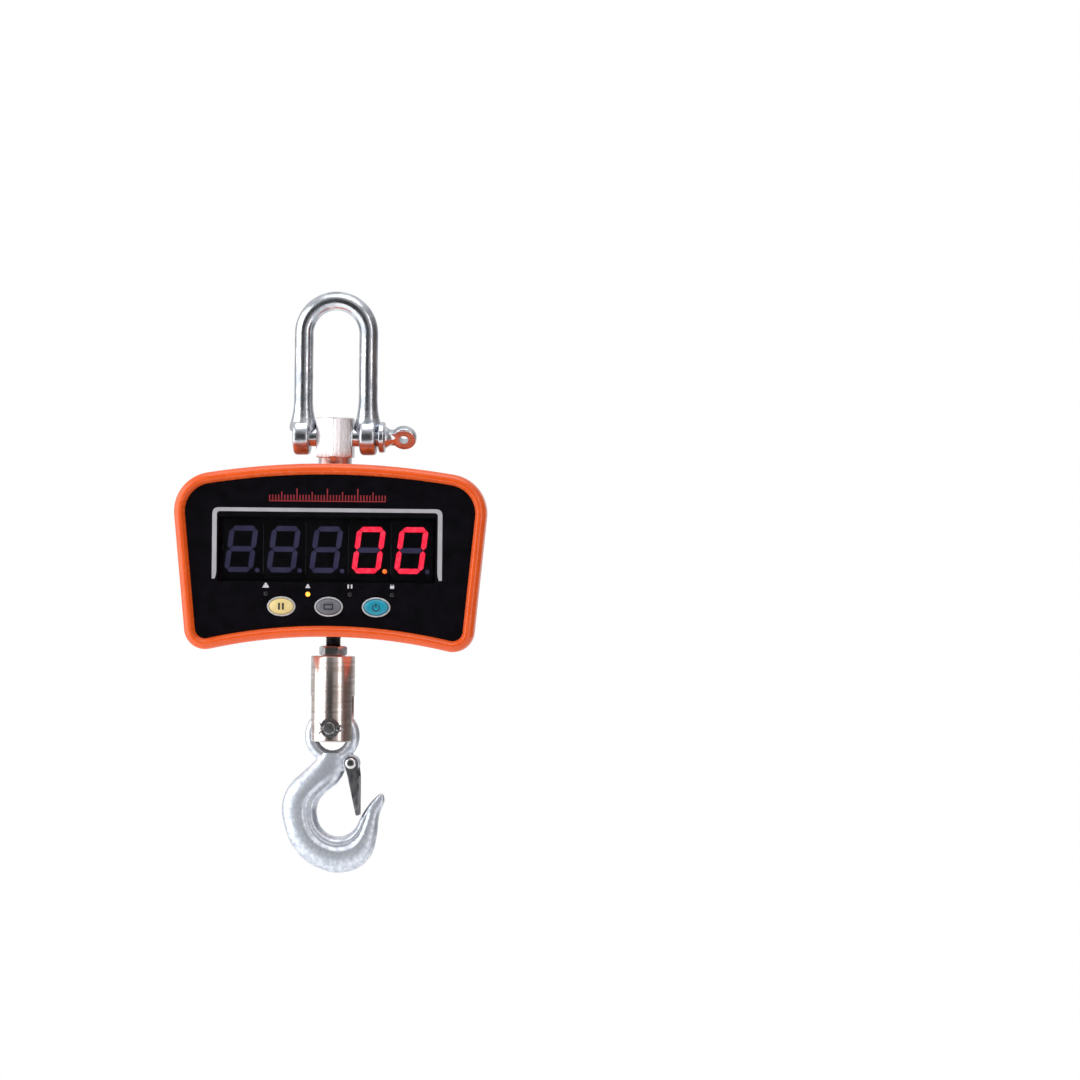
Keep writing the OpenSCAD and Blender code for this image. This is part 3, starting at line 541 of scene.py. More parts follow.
BOW_R, ROD_R, EAR_R, EAR_IN, EAR_OUT = 21.4, 6.2, 12.0, 16.5, 27.5
BOW_TURN_Z, PIN_Z, PIN_R = -15.2, -83.5, 6.35
HEX_AF, HEX_TOP, HEX_FOOT = 24.0, -70.9, -97.3
BODY_W, BODY_TOP, BODY_FOOT, WIDE_DROP = 205.0, -101.3, -214.9, 37.0
SIDE_LEAN, TOP_R, FOOT_R, TOP_CORNER, FOOT_CORNER = math.radians(5.6), 510.0, 356.0, 26.0, 14.0
FRONT_Y, BACK_Y, RIM_BACK, REAR_FRONT = -31.0, 31.0, -17.6, -16.4
WALL, EDGE, RIM_W, BEVEL, PANEL_Y, PLATE_Y = 3.0, 4.4, 7.2, 2.6, -27.0, -25.5
REAR_STEP, REAR_LEAN = 1.0, math.tan(math.radians(9))
CAVITY_BACK = BACK_Y - EDGE
TURRET_TOP, TURRET_FOOT = BODY_TOP - 2.4, BODY_FOOT + 2.4
DIGIT_Z, DIGIT_X, DIGIT_W, DIGIT_H, DIGIT_FACE, DIGIT_BACK = BODY_TOP - 56.5, -1.8, 28.0, 40.4, -24.0, -14.0
TRAY_W, TRAY_H, TRAY_X, TRAY_Z, TRAY_FRONT = 43.8, 72.0, -54.4, -161.3, 5.8
PLATE_X, PLATE_Z, SOCKET_X, SOCKET_Z = 49.5, -152.3, 63.5, BODY_FOOT + 17
STUD_TOP, STUD_FOOT = -177.3, -251.4
LED_Z, LED_PITCH, KEY_Z, KEY_PITCH = BODY_TOP - 85.7, 27.7, BODY_TOP - 93.8, 31.2
KEY_W, KEY_H, KEY_RING = 18.7, 13.0, 1.3
BARREL_TOP, BARREL_FOOT, BARREL_R = -227.9, -284.1, 14.5
CROSS_Z, EYE_Z, SPLIT_Y = -274.9, -280.45, -15.7
RIVET_X, RIVET_Z = 13.0, -298.35

# ---- shackle ----


def shackle():
    turn = [math.pi - math.pi * k / 48 for k in range(49)]
    legs = [(-BOW_R, 0, z) for z in (-80, -76, -71, -66, -60, -40, -24)]
    path = legs + [(BOW_R * math.cos(a), 0, BOW_TURN_Z + BOW_R * math.sin(a)) for a in turn]
    path += [(-x, y, z) for x, y, z in reversed(legs)]
    flare = [9.6, 9.0, 7.6, 6.7, ROD_R, ROD_R, ROD_R]
    shapes = [tube(path, flare + [ROD_R] * len(turn) + flare[::-1], 48)]
    for side in (-1, 1):
        low, high = sorted((side * EAR_IN, side * EAR_OUT))
        shapes.append(bar("X", low, high, EAR_R, (0, 0, PIN_Z), 2.6, 96))
    skin = forged(0.55, 7, *shapes)
    hole = bar("X", -40, 40, PIN_R + 0.05, (0, 0, PIN_Z), 0.01, 96)
    piece("shackle_bow_forged", worked(skin, *cut(hole)), "zinc_forging", "shackle", ["shackle_bow"], 50)


def screw_pin():
    eye_x, turn = 45.55, 36
    about = (0, 0, PIN_Z)
    shank = [(PIN_R - 1, -27.2), (PIN_R, -26.2)]
    crest = [(PIN_R if k % 2 else PIN_R - 0.55, -25.5 + k * 0.75) for k in range(12)]
    shank += crest + [(PIN_R, -16), (PIN_R, 29.3)]
    head = forged(0.4, 5,
                  lathe(soften([(3, 29.1), (10.2, 29.1), (10.2, 32.9), (3, 32.9)], 1.0, 3), "X", about),
                  lathe([(7.8, 32), (6.6, 34.5), (4.6, 37.5), (3.4, 40)], "X", about),
                  turned(bar("Y", -2.8, 2.8, 8.15, (eye_x, 0, PIN_Z), 1.2, 48), turn, "X", about),
                  turned(prism(rectangle(38, PIN_Z, 12, 9.6), -2.7, 2.7), turn, "X", about))
    head = worked(head, *cut(turned(bar("Y", -6, 6, 3.0, (eye_x, 0, PIN_Z), 0.01, 48), turn, "X", about)))
    piece("shackle_pin_turned", joined(lathe(shank, "X", about), head), "zinc_forging", "screw_pin",
          ["shackle_pin"], 45)


def hanger():
    block = nut(HEX_FOOT, HEX_TOP, HEX_AF, 0, 30)
    collar = lathe(soften([(4, TURRET_TOP + 0.3), (11, TURRET_TOP + 0.3), (11, HEX_FOOT + 1.2), (4, HEX_FOOT + 1.2)],
                          0.5, 3))
    stem = bar("Z", -140, BODY_TOP + 1, 6.0)
    block = worked(joined(block), op("UNION", collar),
                   *cut(bar("X", -30, 30, PIN_R + 0.05, (0, 0, PIN_Z), 0.01, 96)), rounded(0.2, 2, 60))
    piece("hanger_block_milled", joined(block, stem), "machined_steel", "scale", ["hanger_block"], 30)


# ---- housing ----


def outline(inset):
    """The housing seen from the front, moved in by inset."""
    inset += 0.14  # keeps the smooth corners within the CAD model's straight-sided ones
    across = Vector((math.cos(SIDE_LEAN), -math.sin(SIDE_LEAN)))
    up = Vector((math.sin(SIDE_LEAN), math.cos(SIDE_LEAN)))
    side = across.dot(Vector((BODY_W / 2, BODY_TOP - WIDE_DROP)))

    def middle(centre, arm, radius):
        reach = math.sqrt(arm ** 2 - (side - radius - across.dot(centre)) ** 2)
        return across * (side - radius) + up * (up.dot(centre) + reach)

    top, foot = Vector((0, BODY_TOP - TOP_R)), Vector((0, BODY_FOOT - FOOT_R))
    upper, lower = middle(top, TOP_R - TOP_CORNER, TOP_CORNER), middle(foot, FOOT_R + FOOT_CORNER, FOOT_CORNER)
    top_end = math.atan2(upper.y - top.y, upper.x)
    foot_end = math.atan2(lower.y - foot.y, lower.x)
    half = []
    for centre, radius, start, end, steps in (
            (top, TOP_R - inset, math.pi / 2, top_end, 28),
            (upper, TOP_CORNER - inset, top_end, -SIDE_LEAN, 14),
            (lower, FOOT_CORNER - inset, -SIDE_LEAN, foot_end - math.pi, 14),
            (foot, FOOT_R + inset, foot_end, math.pi / 2, 28)):
        first = 0 if centre is top or centre is lower else 1
        half += [(centre.x + radius * math.cos(a), centre.y + radius * math.sin(a))
                 for a in (start + (end - start) * k / steps for k in range(first, steps + 1))]
    return half + [(-x, z) for x, z in reversed(half[1:-1])]


def front_ring():
    crown = [(EDGE * (1 - math.cos(a)), FRONT_Y + EDGE * (1 - math.sin(a)))
             for a in (math.pi / 2 * k / 8 for k in range(9))]
    bevel_top = RIM_W - BEVEL + 0.3
    profile = [(WALL, RIM_BACK), (0.35, RIM_BACK), (0, RIM_BACK - 0.35)] + crown
    profile += [(bevel_top, FRONT_Y), (bevel_top + 0.5, FRONT_Y + 0.35), (RIM_W - 0.25, PANEL_Y - 0.5),
                (RIM_W - 0.05, PANEL_Y), (RIM_W, PLATE_Y + 2.5), (WALL, PLATE_Y + 2.5)]
    loops = [[(x, y, z) for x, z in outline(inset)] for inset, y in profile]
    piece("front_housing_moulded", loft(loops, True), "orange_housing", "scale", ["front_housing"], 40)


def rear_inset(y):
    return REAR_STEP + (y - REAR_FRONT) * REAR_LEAN


def rear_shell():
    back = rear_inset(BACK_Y - EDGE)
    profile = [(REAR_STEP + 0.35, REAR_FRONT), (rear_inset(REAR_FRONT + 0.35), REAR_FRONT + 0.35)]
    profile += [(rear_inset(y), y) for y in (-8.0, 2.0, 12.0, 20.0)]
    profile += [(back + EDGE * (1 - math.cos(a)), BACK_Y - EDGE * (1 - math.sin(a)))
                for a in (math.pi / 2 * k / 7 for k in range(8))]
    outer = loft([[(x, y, z) for x, z in outline(i)] for i, y in profile])
    hollow = loft([[(x, y, z) for x, z in outline(rear_inset(y) + WALL)] for y in (REAR_FRONT - 2, 8.0, CAVITY_BACK)])
    turret_top = bar("Z", TURRET_TOP - 4.5, TURRET_TOP, 13, edge=0.6)
    turret_foot = bar("Z", TURRET_FOOT, TURRET_FOOT + 4.5, 12, edge=0.6)
    places = [(BODY_W / 2 - 18.5, BODY_TOP - 32.5), (BODY_W / 2 - 24.5, BODY_FOOT + 9.5), (28, BODY_TOP - 17)]
    places += [(-x, z) for x, z in places]
    bosses = joined(*[bar("Y", REAR_FRONT, CAVITY_BACK + 1, 4, (x, 0, z), 0.01, 32) for x, z in places])
    wells = joined(*[bar("Y", -5, 40, 3.1, (x, 0, z), 0.01, 32) for x, z in places],
                   *[bar("Y", -20, -4, 1.7, (x, 0, z), 0.01, 24) for x, z in places])
    door_w, door_h, tray_x, tray_z = TRAY_W + 6, TRAY_H + 6, TRAY_X, TRAY_Z
    recess = worked(prism(soften(rectangle(tray_x, tray_z, door_w, door_h), 2.5, 4, True), BACK_Y - 2.5, 40))
    mouth = prism(rectangle(tray_x, tray_z, TRAY_W + 0.6, TRAY_H + 0.6), TRAY_FRONT, BACK_Y - 2)
    label = prism(soften(rectangle(PLATE_X, PLATE_Z, 46.4, 30.4), 2, 4, True), BACK_Y - 0.5, 40)
    socket = bar("Y", CAVITY_BACK - 2, 40, 4, (SOCKET_X, 0, SOCKET_Z), 0.01, 48)
    shell = worked(outer, op("DIFFERENCE", hollow), op("UNION", turret_top), op("UNION", turret_foot),
                   op("UNION", bosses),
                   *cut(wells, recess, mouth, label, socket, bar("Z", -125, -90, 9, edge=0.01),
                        bar("Z", TURRET_TOP, -90, 11.3, edge=0.01), bar("Z", -230, -200, 8, edge=0.01)))
    piece("rear_housing_moulded", shell, "orange_housing", "scale", ["rear_housing"], 32)


def door():
    outer = prism(soften(rectangle(TRAY_X, TRAY_Z, TRAY_W + 5.4, TRAY_H + 5.4), 2.3, 4, True), BACK_Y - 2.2, BACK_Y)
    grips = joined(*[prism(soften(rectangle(TRAY_X, TRAY_Z + 19.5 + 4 * k, 25, 1.6), 0.8, 3, True),
                           BACK_Y - 0.9, BACK_Y + 1) for k in range(-2, 3)])
    piece("battery_door_moulded", worked(outer, *cut(grips), rounded(0.35, 3, 40)), "orange_housing", "door",
          ["battery_door"], 30)


def seal():
    profile = [(0.7, RIM_BACK + 0.02), (0.7, REAR_FRONT - 0.02), (3.3, REAR_FRONT - 0.02), (3.3, RIM_BACK + 0.02)]
    piece("housing_seal_cord", loft([[(x, y, z) for x, z in outline(i)] for i, y in profile], True), "seal_rubber",
          "scale", ["housing_seal"], 30)

# ---- display, panel and keys ----


def segment(start, end, width, slant):
    """A light segment with pointed ends, leaning with the digit."""
    start, end = Vector(start), Vector(end)
    ahead = (end - start).normalized()
    side = Vector((-ahead.y, ahead.x)) * width / 2
    tip = ahead * width / 2
    ring = [start, start + tip + side, end - tip + side, end, end - tip - side, start + tip - side]
    return [(px + pz * slant, pz) for px, pz in soften(ring, 0.25, 2, True)]


def digit(number, lit, point_lit):
    """A seven-segment module: its case, its segments and its decimal point, each a hair proud of the face."""
    x, wide, tall, bar_w, slant, air = DIGIT_X + (number - 3) * DIGIT_W - 0.6, 15.6, 27.1, 3.4, 0.13, 0.25
    case = worked(prism(rectangle(DIGIT_X + (number - 3) * DIGIT_W, DIGIT_Z, DIGIT_W - 0.3, DIGIT_H),
                        DIGIT_FACE, DIGIT_BACK), rounded(0.35))
    left, right, high, low = -wide / 2, wide / 2, tall / 2, -tall / 2
    strokes = [((left, high), (right, high)), ((right, high), (right, 0)), ((right, 0), (right, low)),
               ((left, low), (right, low)), ((left, 0), (left, low)), ((left, high), (left, 0)),
               ((left, 0), (right, 0))]
    shapes = {"segment_off": [], "segment_on": [], "point_on": []}
    for index, (start, end) in enumerate(strokes):
        start, end = Vector(start), Vector(end)
        pull = (end - start).normalized() * air
        outline_points = [(x + px, DIGIT_Z + pz) for px, pz in segment(start + pull, end - pull, bar_w, slant)]
        glowing = lit and index != 6
        shapes["segment_on" if glowing else "segment_off"].append(
            prism(outline_points, DIGIT_FACE - 0.08, DIGIT_FACE + 0.5))
    point = ellipse(x + 10.6, DIGIT_Z - tall / 2 - 0.3, 3.0, 3.0, 24)
    shapes["point_on" if point_lit else "segment_off"].append(prism(point, DIGIT_FACE - 0.08, DIGIT_FACE + 0.5))
    whole, extra = case, []
    for finish, parts in shapes.items():
        if parts:
            extra.append((finish, len(whole[1])))
            whole = joined(whole, *parts)
    piece("digit_%d_module" % number, whole, "digit_body", "scale", ["digit_%d" % number], 30, extra)


def printed(name, finish, *outlines):
    """Ink on the panel's face, as thin proud shapes."""
    piece(name, joined(*[prism(o, PANEL_Y - 0.07, PANEL_Y + 0.02) for o in outlines]), finish, "scale")


def panel_prints():
    mid_x, half, high, low, side, top = -1.6, 75.7, PIN_Z - 47.2, PIN_Z - 93.9, 3.0, 2.5
    outer = soften([(-half, low), (-half, high), (half, high), (half, low)], 4.4, 8)
    inner = soften([(half - side + 1.0, low - 0.0), (half - side, low + 3.5), (half - side, high - top),
                    (-half + side, high - top), (-half + side, low + 3.5), (-half + side - 1.0, low)], 2.2, 6)
    printed("display_frame_print", "ink_silver", [(mid_x + x, z) for x, z in outer + inner])
    ticks = []
    for k in range(39):
        tall = 7.6 if k % 10 == 9 else 5.4 if k % 5 == 4 else 3.4
        ticks.append(rectangle(-38 + 2 * k + mid_x, PIN_Z - 42.0 + tall / 2, 0.8, tall))
    ticks.append(rectangle(mid_x, PIN_Z - 42.6, 77, 0.7))
    printed("graduation_print", "ink_red", *ticks)
    lines = [rectangle(DIGIT_X + (k - 2) * DIGIT_W, DIGIT_Z, 0.35, 33) for k in (0.5, 1.5, 2.5, 3.5)]
    piece("module_joint_lines", joined(*[prism(o, DIGIT_FACE - 0.06, DIGIT_FACE + 0.3) for o in lines]),
          "ink_dark", "scale")
    z = PIN_Z - 98.2
    first, second, third, fourth = [(k - 1.5) * LED_PITCH for k in range(4)]
    printed("legend_prints", "ink_white",
            [(first - 2.2, z - 1.3), (first + 2.2, z - 1.3), (first + 1.3, z + 0.7), (first - 1.3, z + 0.7)],
            ellipse(first, z + 1.2, 1.6, 1.4, 16),
            [(second - 1.6, z - 1.3), (second + 1.6, z - 1.3), (second + 0.9, z + 0.4), (second - 0.9, z + 0.4)],
            ellipse(second, z + 0.8, 1.2, 1.0, 16),
            rectangle(third - 1.1, z, 1.0, 2.6), rectangle(third + 1.1, z, 1.0, 2.6),
            rectangle(fourth, z - 0.2, 2.6, 1.9), rectangle(fourth - 0.8, z + 1.1, 0.5, 0.9),
            rectangle(fourth + 0.8, z + 1.1, 0.5, 0.9))


def window():
    low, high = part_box("display_window")
    middle, size = (low + high) / (2 * MM), (high - low) / MM
    pane = prism(soften(rectangle(middle.x, middle.z, size.x, size.z), 0.5, 3, True), PANEL_Y, PLATE_Y)
    piece("display_window_pane", pane, "window_tint", "scale", ["display_window"], 30)


def lamps():
    for k in range(4):
        x = (k - 1.5) * LED_PITCH
        dome = [(1.5 * math.cos(a), PANEL_Y + 0.35 - 0.6 * math.sin(a))
                for a in (math.pi / 2 * j / 6 for j in range(5, -1, -1))]
        body = lathe(dome + [(1.5, DIGIT_BACK - 3), (1.9, DIGIT_BACK - 3), (1.9, DIGIT_BACK)], "Y",
                     (x, 0, LED_Z), 32)
        piece("indicator_lamp_%d" % (k + 1), body, "led_amber" if k == 1 else "led_off", "scale",
              ["indicator_leds"], 35)


def keys():
    cap_w, cap_h = KEY_W - 2 * KEY_RING, KEY_H - 2 * KEY_RING
    rings = []
    for k in (-1, 0, 1):
        x, body = k * KEY_PITCH, ("hold_key", "zero_key", "power_key")[k + 1]
        finish, node = (("key_yellow", "key_hold"), ("key_grey", "key_zero"), ("key_teal", "key_power"))[k + 1]
        loops = [[(px, y, pz) for px, pz in ellipse(x, KEY_Z, cap_w - 2 * i, cap_h - 2 * i)]
                 for i, y in ((cap_h / 2 - 0.8, -28.62), (3.6, -28.58), (2.4, -28.48), (1.4, -28.3), (0.7, -28.0),
                              (0.25, -27.6), (0, -27.1), (0, -22.6))]
        flange = prism(ellipse(x, KEY_Z, cap_w + 3, cap_h + 3), -22.7, -21.3)
        stem = bar("Y", -21.6, -17.95, 2, (x, 0, KEY_Z), 0.1, 24)
        piece("%s_cap" % node, joined(loft(loops), flange, stem), finish, body, [node], 35)
        band = [(KEY_W, KEY_H, PANEL_Y), (KEY_W, KEY_H, PANEL_Y - 0.25), (KEY_W - 0.5, KEY_H - 0.5, PANEL_Y - 0.55),
                (cap_w + 1.1, cap_h + 1.1, PANEL_Y - 0.6), (cap_w + 0.6, cap_h + 0.6, PANEL_Y - 0.4),
                (cap_w + 0.6, cap_h + 0.6, PANEL_Y)]
        rings.append(loft([[(px, y, pz) for px, pz in ellipse(x, KEY_Z, w, h)] for w, h, y in band], True))
        marks = {-1: [rectangle(x - 1.3, KEY_Z, 1.3, 4.4), rectangle(x + 1.3, KEY_Z, 1.3, 4.4)],
                 0: [rectangle(x, KEY_Z + 1.5, 6.4, 0.9), rectangle(x, KEY_Z - 1.5, 6.4, 0.9),
                     rectangle(x - 2.75, KEY_Z, 0.9, 2.1), rectangle(x + 2.75, KEY_Z, 0.9, 2.1)],
                 1: [rectangle(x, KEY_Z + 1.3, 0.9, 2.6)]}[k]
        shapes = [prism(o, -28.66, -28.4) for o in marks]
        if k == 1:
            arc = [(x + 2.2 * math.sin(a), -28.52, KEY_Z + 2.2 * math.cos(a) - 0.3)
                   for a in (math.radians(40 + 280 * j / 20) for j in range(21))]
            shapes.append(tube(arc, 0.38, 8))
        piece("%s_mark" % node, joined(*shapes), "ink_dark", body)
    piece("key_rings_painted", joined(*rings), "trim_silver", "scale", ["key_rings"], 40)


# ---- swivel ----


def lower_stud():
    profile, z = [(4.2, STUD_FOOT)], STUD_FOOT + 0.8
    while z < -182.5:
        profile += [(5.0, z), (5.0, z + 0.3), (4.45, z + 0.75), (4.45, z + 0.95)]
        z += 1.5
    piece("lower_stud_threaded", lathe(profile + [(5.0, STUD_TOP - 0.4), (4.2, STUD_TOP)], steps=64), "black_steel",
          "scale", ["lower_stud"], 50)


def barrel():
    bore_top = BARREL_TOP - 8
    wall = [(5.2, BARREL_TOP), (BARREL_R - 0.4, BARREL_TOP), (BARREL_R, BARREL_TOP - 0.9),
            (BARREL_R, BARREL_FOOT + 0.7), (BARREL_R - 0.7, BARREL_FOOT), (9.9, BARREL_FOOT),
            (9.5, BARREL_FOOT + 0.4), (9.5, bore_top), (5.2, bore_top)]
    slot = prism(rectangle(0, BARREL_FOOT + 14, 60, 32), -5.5, 5.5)
    holes = [bar("Y", -30, 30, 4.05, (0, 0, CROSS_Z), 0.01, 64)]
    holes += [bar("Y", y, y + 10, 6.65, (0, 0, CROSS_Z), 0.01, 64) for y in (-23.2, 13.2)]
    piece("swivel_barrel_turned", worked(lathe(wall, steps=192, ring=True), *cut(slot, *holes), rounded(0.12, 2, 40)),
          "barrel_chrome", "swivel", ["swivel_barrel"], 30)


def cross_pin():
    pin = lathe(soften([(1, -19.1), (4, -19.1), (4, 14)], 0.7, 4) + [(4, 14)], "Y", (0, 0, CROSS_Z), 64)
    head = lathe(soften([(2, 13.2), (6.35, 13.2), (6.35, 16.2), (2, 16.2)], 0.8, 4), "Y", (0, 0, CROSS_Z), 64)
    piece("cross_pin_turned", joined(pin, head), "pin_steel", "swivel", ["cross_pin"], 35)
    washer = [(4.1, -13.25), (6.2, -13.25), (6.35, -13.4), (6.35, -14.25), (6.2, -14.4), (4.1, -14.4)]
    piece("pin_washer_pressed", lathe(washer, "Y", (0, 0, CROSS_Z), 64, True), "pin_steel", "swivel",
          ["pin_washer"], 30)
    loop = [(4.2 + 2.3 - 2.3 * math.cos(a), SPLIT_Y, CROSS_Z + 1.7 * math.sin(a))
            for a in (math.radians(24 + 312 * k / 20) for k in range(21))]
    wires = []
    for side in (-1, 1):
        leg = [(6.0 - 12 * t, SPLIT_Y, CROSS_Z + side * 0.48) for t in (k / 8 for k in range(2, 8))]
        leg += [(-5.2, SPLIT_Y, CROSS_Z + side * 0.8), (-6.0, SPLIT_Y - 0.1, CROSS_Z + side * 2.0),
                (-6.6, SPLIT_Y - 0.2, CROSS_Z + side * 3.9)]
        wires.append(tube(leg, 0.5, 12))
    piece("split_pin_bent", joined(tube(loop, 0.6, 12), *wires), "pin_steel", "swivel", ["split_pin"], 60)


# ---- hook ----

# Stations of the body from neck to tip: inner edge x and z, outer edge x and z, from the eye's centre
STATIONS = [
    (7, -11, -7, -11), (8.6, -15, -11.5, -17), (8.4, -23, -17.5, -22.5), (4, -31, -26, -30.5),
    (-3.5, -37, -31, -38.5), (-8.4, -43, -33, -47.5), (-9.9, -50.5, -31.6, -58), (-8, -58.5, -26.3, -72),
    (-3, -64, -15, -84), (3.7, -66.4, 1.5, -90.2), (11, -64.8, 17, -87.6), (16.4, -60, 26.4, -78.6),
    (19.6, -53.2, 30, -66.5), (24.6, -45.2, 31.6, -52.5), (29.2, -40, 35, -43), (32, -37.6, 34.4, -38.4)]


def hook_rows(steps=6):
    rows, last = [], len(STATIONS) - 1
    for i in range(last):
        a, b, c, d = [STATIONS[min(max(k, 0), last)] for k in (i - 1, i, i + 1, i + 2)]
        for t in (k / steps for k in range(steps)):
            rows.append([0.5 * (2 * q + (r - p) * t + (2 * p - 5 * q + 4 * r - s) * t * t
                                + (3 * q - p - 3 * r + s) * t ** 3) for p, q, r, s in zip(a, b, c, d)])
    return rows + [list(STATIONS[-1])]


def swell(value, low, high):
    t = min(max((value - low) / (high - low), 0), 1)
    return t * t * (3 - 2 * t)


def hook():
    loops = []
    for xi, zi, xo, zo in hook_rows():
        x, z = (xi + xo) / 2, (zi + zo) / 2
        half = min(5.3 + 2.6 * swell(-z, 17, 44), 7.9 - 5.6 * swell(x, 17, 35))
        width = math.hypot(xo - xi, zo - zi)
        groove = 0.2 * swell(width, 9, 17) * swell(-z, 24, 34)
        loop = []
        for k in range(56):
            turn = TAU * k / 56
            share = (1 - math.cos(turn)) / 2
            body = (1 - abs(2 * share - 1) ** 2.7) ** (1 / 2.1)
            dip = groove * math.exp(-(((share - 0.27) / 0.085) ** 2))
            y = half * max(body - dip, 0) * (1 if math.sin(turn) >= 0 else -1)
            loop.append((xi + (xo - xi) * share, y, EYE_Z + zi + (zo - zi) * share))
        loops.append(loop)
    ring = [(13.9 * math.cos(a), 0, EYE_Z + 13.9 * math.sin(a)) for a in (TAU * k / 72 for k in range(72))]
    lug = bar("Y", -3.7, 3.7, 5.6, (RIVET_X, 0, RIVET_Z), 0.8, 48)
    root = bar("Y", -3.4, 3.4, 6.0, (RIVET_X - 5.6, 0, RIVET_Z + 1), 0.8, 48)
    skin = forged(0.5, 5, loft(loops), tube(ring, 4.3, 32, True), lug, root)
    skin = worked(skin, *cut(bar("Y", -12, 12, 2.05, (RIVET_X, 0, RIVET_Z), 0.01, 32)))
    piece("hook_forged", skin, "zinc_hook", "hook", ["hook"], 60)


def latch():
    side = [(-4.6, 0), (-2.2, -8), (3.6, -34.2), (5.7, -34.2), (5.6, -8), (4.6, 0)]
    boss = [(4.6 * math.cos(a), 4.6 * math.sin(a)) for a in (math.pi * k / 16 for k in range(1, 16))]
    side = [(RIVET_X + x, RIVET_Z + z) for x, z in side + boss]
    cheeks = [worked(prism(side, *sorted((s * 4.1, s * 5.6))), rounded(0.4, 3, 20)) for s in (-1, 1)]
    web = prism([(RIVET_X + x, RIVET_Z + z) for x, z in ((4.2, -8.6), (4.2, -33.9), (5.5, -33.9), (5.4, -8.6))],
                -4.6, 4.6)
    latch_shape = worked(cheeks[0], op("UNION", cheeks[1]), op("UNION", worked(web, rounded(0.3, 2, 20))),
                         *cut(bar("Y", -12, 12, 2.05, (RIVET_X, 0, RIVET_Z), 0.01, 32)))
    piece("latch_pressed", latch_shape, "latch_steel", "latch", ["latch"], 30)
    heads = []
    for s in (-1, 1):
        dome = [(3.7, 5.7), (3.7, 6.1), (3.4, 6.55), (2.7, 6.9), (1.6, 7.08), (0.5, 7.1)]
        heads.append(lathe([(r, s * y) for r, y in dome], "Y", (RIVET_X, 0, RIVET_Z), 48))
    shank = bar("Y", -5.8, 5.8, 2.0, (RIVET_X, 0, RIVET_Z), 0.01, 32)
    piece("latch_rivet_domed", joined(shank, *heads), "zinc_fittings", "hook", ["latch_rivet"], 35)
    x, top = RIVET_X + 1.6, RIVET_Z - 6.9
    pin = [(x, 0, RIVET_Z - 26), (x, 0, top - 1.0)]
    bend = [math.pi * k / 6 for k in range(7)]
    pin += [(x + 0.7 - 0.7 * math.cos(a), 0, top - 0.4 + 0.4 * math.sin(a)) for a in bend]
    pin += [(x + 1.4, 0, top - 1.0), (x + 1.4, 0, RIVET_Z - 24)]
    piece("latch_spring_hairpin", tube(pin, 0.42, 12), "pin_steel", "latch", ["latch_spring"], 60)


for build in (shackle, screw_pin, hanger, front_ring, rear_shell, door, seal, panel_prints, window, lamps, keys,
              lower_stud, barrel, cross_pin, hook, latch):
    build()
for count, (lit, point_lit) in enumerate(((False, False),) * 3 + ((True, True), (True, False)), 1):
    digit(count, lit, point_lit)
piece("jam_nut_plated", nut(BARREL_TOP + 0.3, BARREL_TOP + 6.7, 16, 5.05, 0), "zinc_fittings", "scale",
      ["jam_nut"], 30)

# The CAD nodes that stay take the finish of their slot
for part in frame["record"]["subparts"]:
    node = frame["nodes"][part["node"]]
    if not node.hide_render:
        for place in node.material_slots:
            place.material = FINISHES[part["material_slot"]]

# ---- room, light and camera ----


def room():
    """A plain pale floor, well below the hook."""
    floor = bpy.data.objects.new("studio_floor", mesh_of(([(-1500, -1500, -750), (1500, -1500, -750),
                                                           (1500, 1500, -750), (-1500, 1500, -750)], [(0, 1, 2, 3)]),
                                                         "studio_floor", MM))
    bpy.context.scene.collection.objects.link(floor)
    material, tree, shader, place = surface("pale_studio_floor", "#F6F6F6", Roughness=0.9, Emission_Strength=0.1)
    shader.inputs["Emission Color"].default_value = srgb("#FFFFFF")
    cloud = grain(tree, place, 300, 2.0)
    tree.links.new(worn(tree, "#F2F2F2", "#FAFAFA", cloud), shader.inputs["Base Color"])
    floor.data.materials.append(material)


# The room's brightness by its angle round from the front, positive towards +X
WALLS = ((-180, grey(0.75)), (-110, grey(0.55)), (-33, grey(0.2)), (-28, grey(0.04)), (5, grey(0.03)),
         (10, (0.27, 0.24, 0.24, 1.0)), (38, (0.42, 0.39, 0.39, 1.0)), (70, (0.12, 0.07, 0.06, 1.0)),
         (115, grey(0.16)), (140, grey(0.5)), (180, grey(0.75)))


def softbox(name, turn, lift, distance, width, height, power):
    """A soft white light facing the scale, turn degrees round from the front towards +X and lift degrees up."""
    light = bpy.data.lights.new(name, "AREA")
    light.shape, light.size, light.size_y, light.energy = "RECTANGLE", width, height, power
    a, e = math.radians(turn), math.radians(lift)
    away = Vector((math.sin(a) * math.cos(e), -math.cos(a) * math.cos(e), math.sin(e)))
    lamp = bpy.data.objects.new(name, light)
    lamp.location = Vector((0, 0, -0.18)) + away * distance
    lamp.rotation_euler = (-away).to_track_quat("-Z", "Y").to_euler()
    bpy.context.scene.collection.objects.link(lamp)


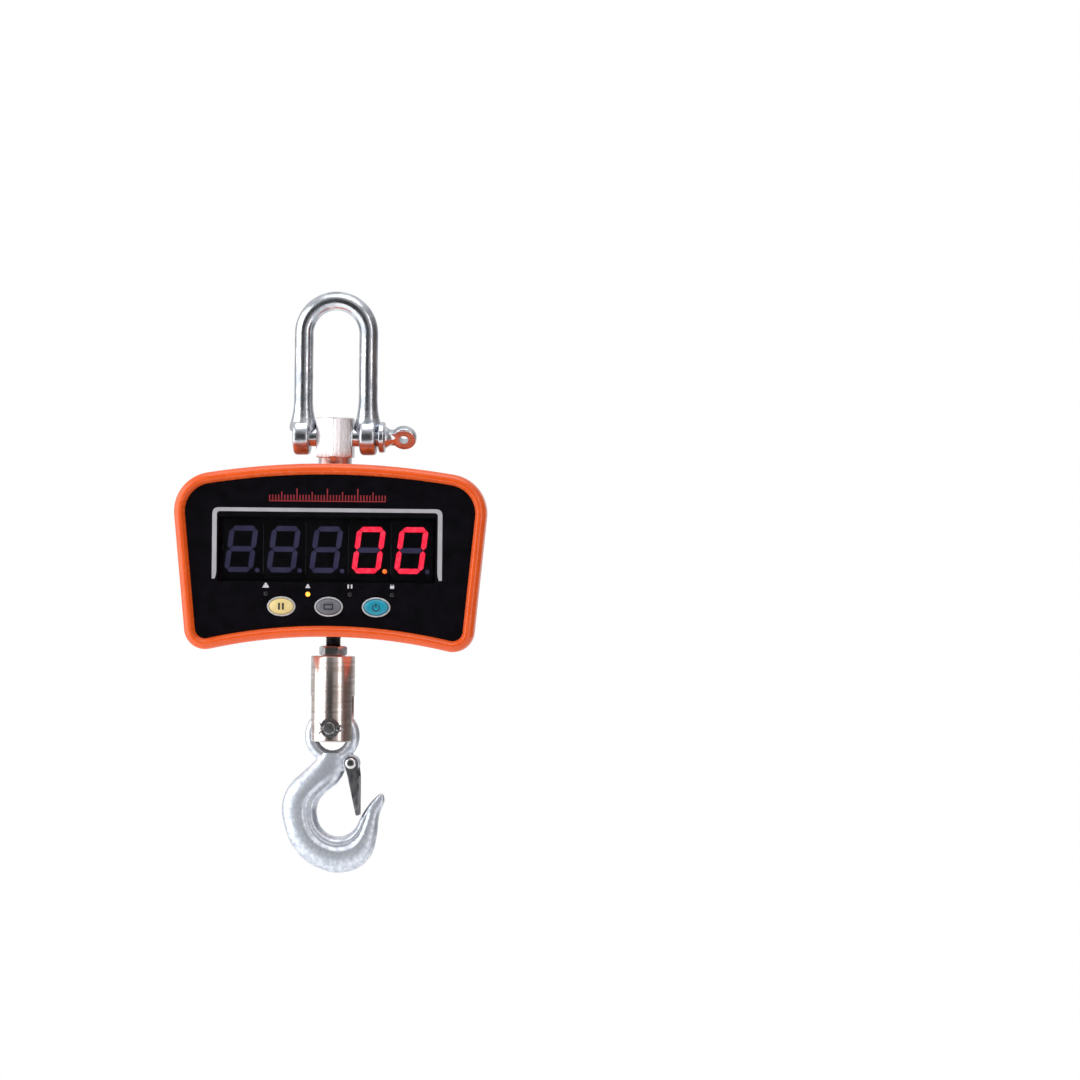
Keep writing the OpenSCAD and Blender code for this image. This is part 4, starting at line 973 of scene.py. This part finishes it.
def world():
    """A dim room that is dark straight ahead and pale behind: round metal gets its upright bands from it."""
    made = bpy.data.worlds.new("studio")
    bpy.context.scene.world = made
    made.use_nodes = True
    tree = made.node_tree
    background = tree.nodes["Background"]
    way = add(tree, "SeparateXYZ", {"Vector": add(tree, "TexCoord").outputs["Generated"]})
    ahead = add(tree, "Math", {0: way.outputs["Y"]}, operation="MULTIPLY")
    ahead.inputs[1].default_value = -1.0
    turn = add(tree, "Math", {0: way.outputs["X"], 1: ahead.outputs["Value"]}, operation="ARCTAN2")
    share = add(tree, "MapRange", {"Value": turn.outputs["Value"]}, From_Min=-math.pi, From_Max=math.pi)
    walls = ramp(tree, share.outputs["Result"], *(((degrees + 180) / 360, colour) for degrees, colour in WALLS))
    height = add(tree, "MapRange", {"Value": way.outputs["Z"]}, From_Min=0.25, From_Max=0.9)
    sky = add(tree, "MixRGB", {"Fac": height.outputs["Result"], "Color1": walls}, Color2=grey(0.8))
    seen = add(tree, "LightPath").outputs["Is Camera Ray"]
    shown = add(tree, "MixRGB", {"Fac": seen, "Color1": sky.outputs["Color"]}, Color2=grey(1.0))
    tree.links.new(shown.outputs["Color"], background.inputs["Color"])


def camera():
    lens = bpy.data.cameras.new("camera")
    lens.lens, lens.sensor_width, lens.clip_end = 151.5, 36.0, 100
    cam = bpy.data.objects.new("camera", lens)
    turn, distance, height, off_centre, roll = math.radians(7), 3.0, -0.150, 0.1357, math.radians(0.6)
    cam.location = (distance * math.sin(turn), -distance * math.cos(turn), height)
    aim = Matrix.Rotation(turn - math.atan(off_centre / distance), 3, "Z") @ Matrix.Rotation(math.pi / 2, 3, "X")
    cam.rotation_euler = (aim @ Matrix.Rotation(roll, 3, "Z")).to_euler()
    bpy.context.scene.collection.objects.link(cam)
    bpy.context.scene.camera = cam


room()
world()
softbox("left_softbox", -66, 8, 1.6, 2.1, 1.9, 24)
softbox("right_strip", 44, 6, 1.7, 0.36, 1.8, 4.5)
softbox("top_softbox", 10, 72, 1.6, 1.4, 1.0, 9)
camera()
bpy.context.scene.view_settings.view_transform = "Standard"
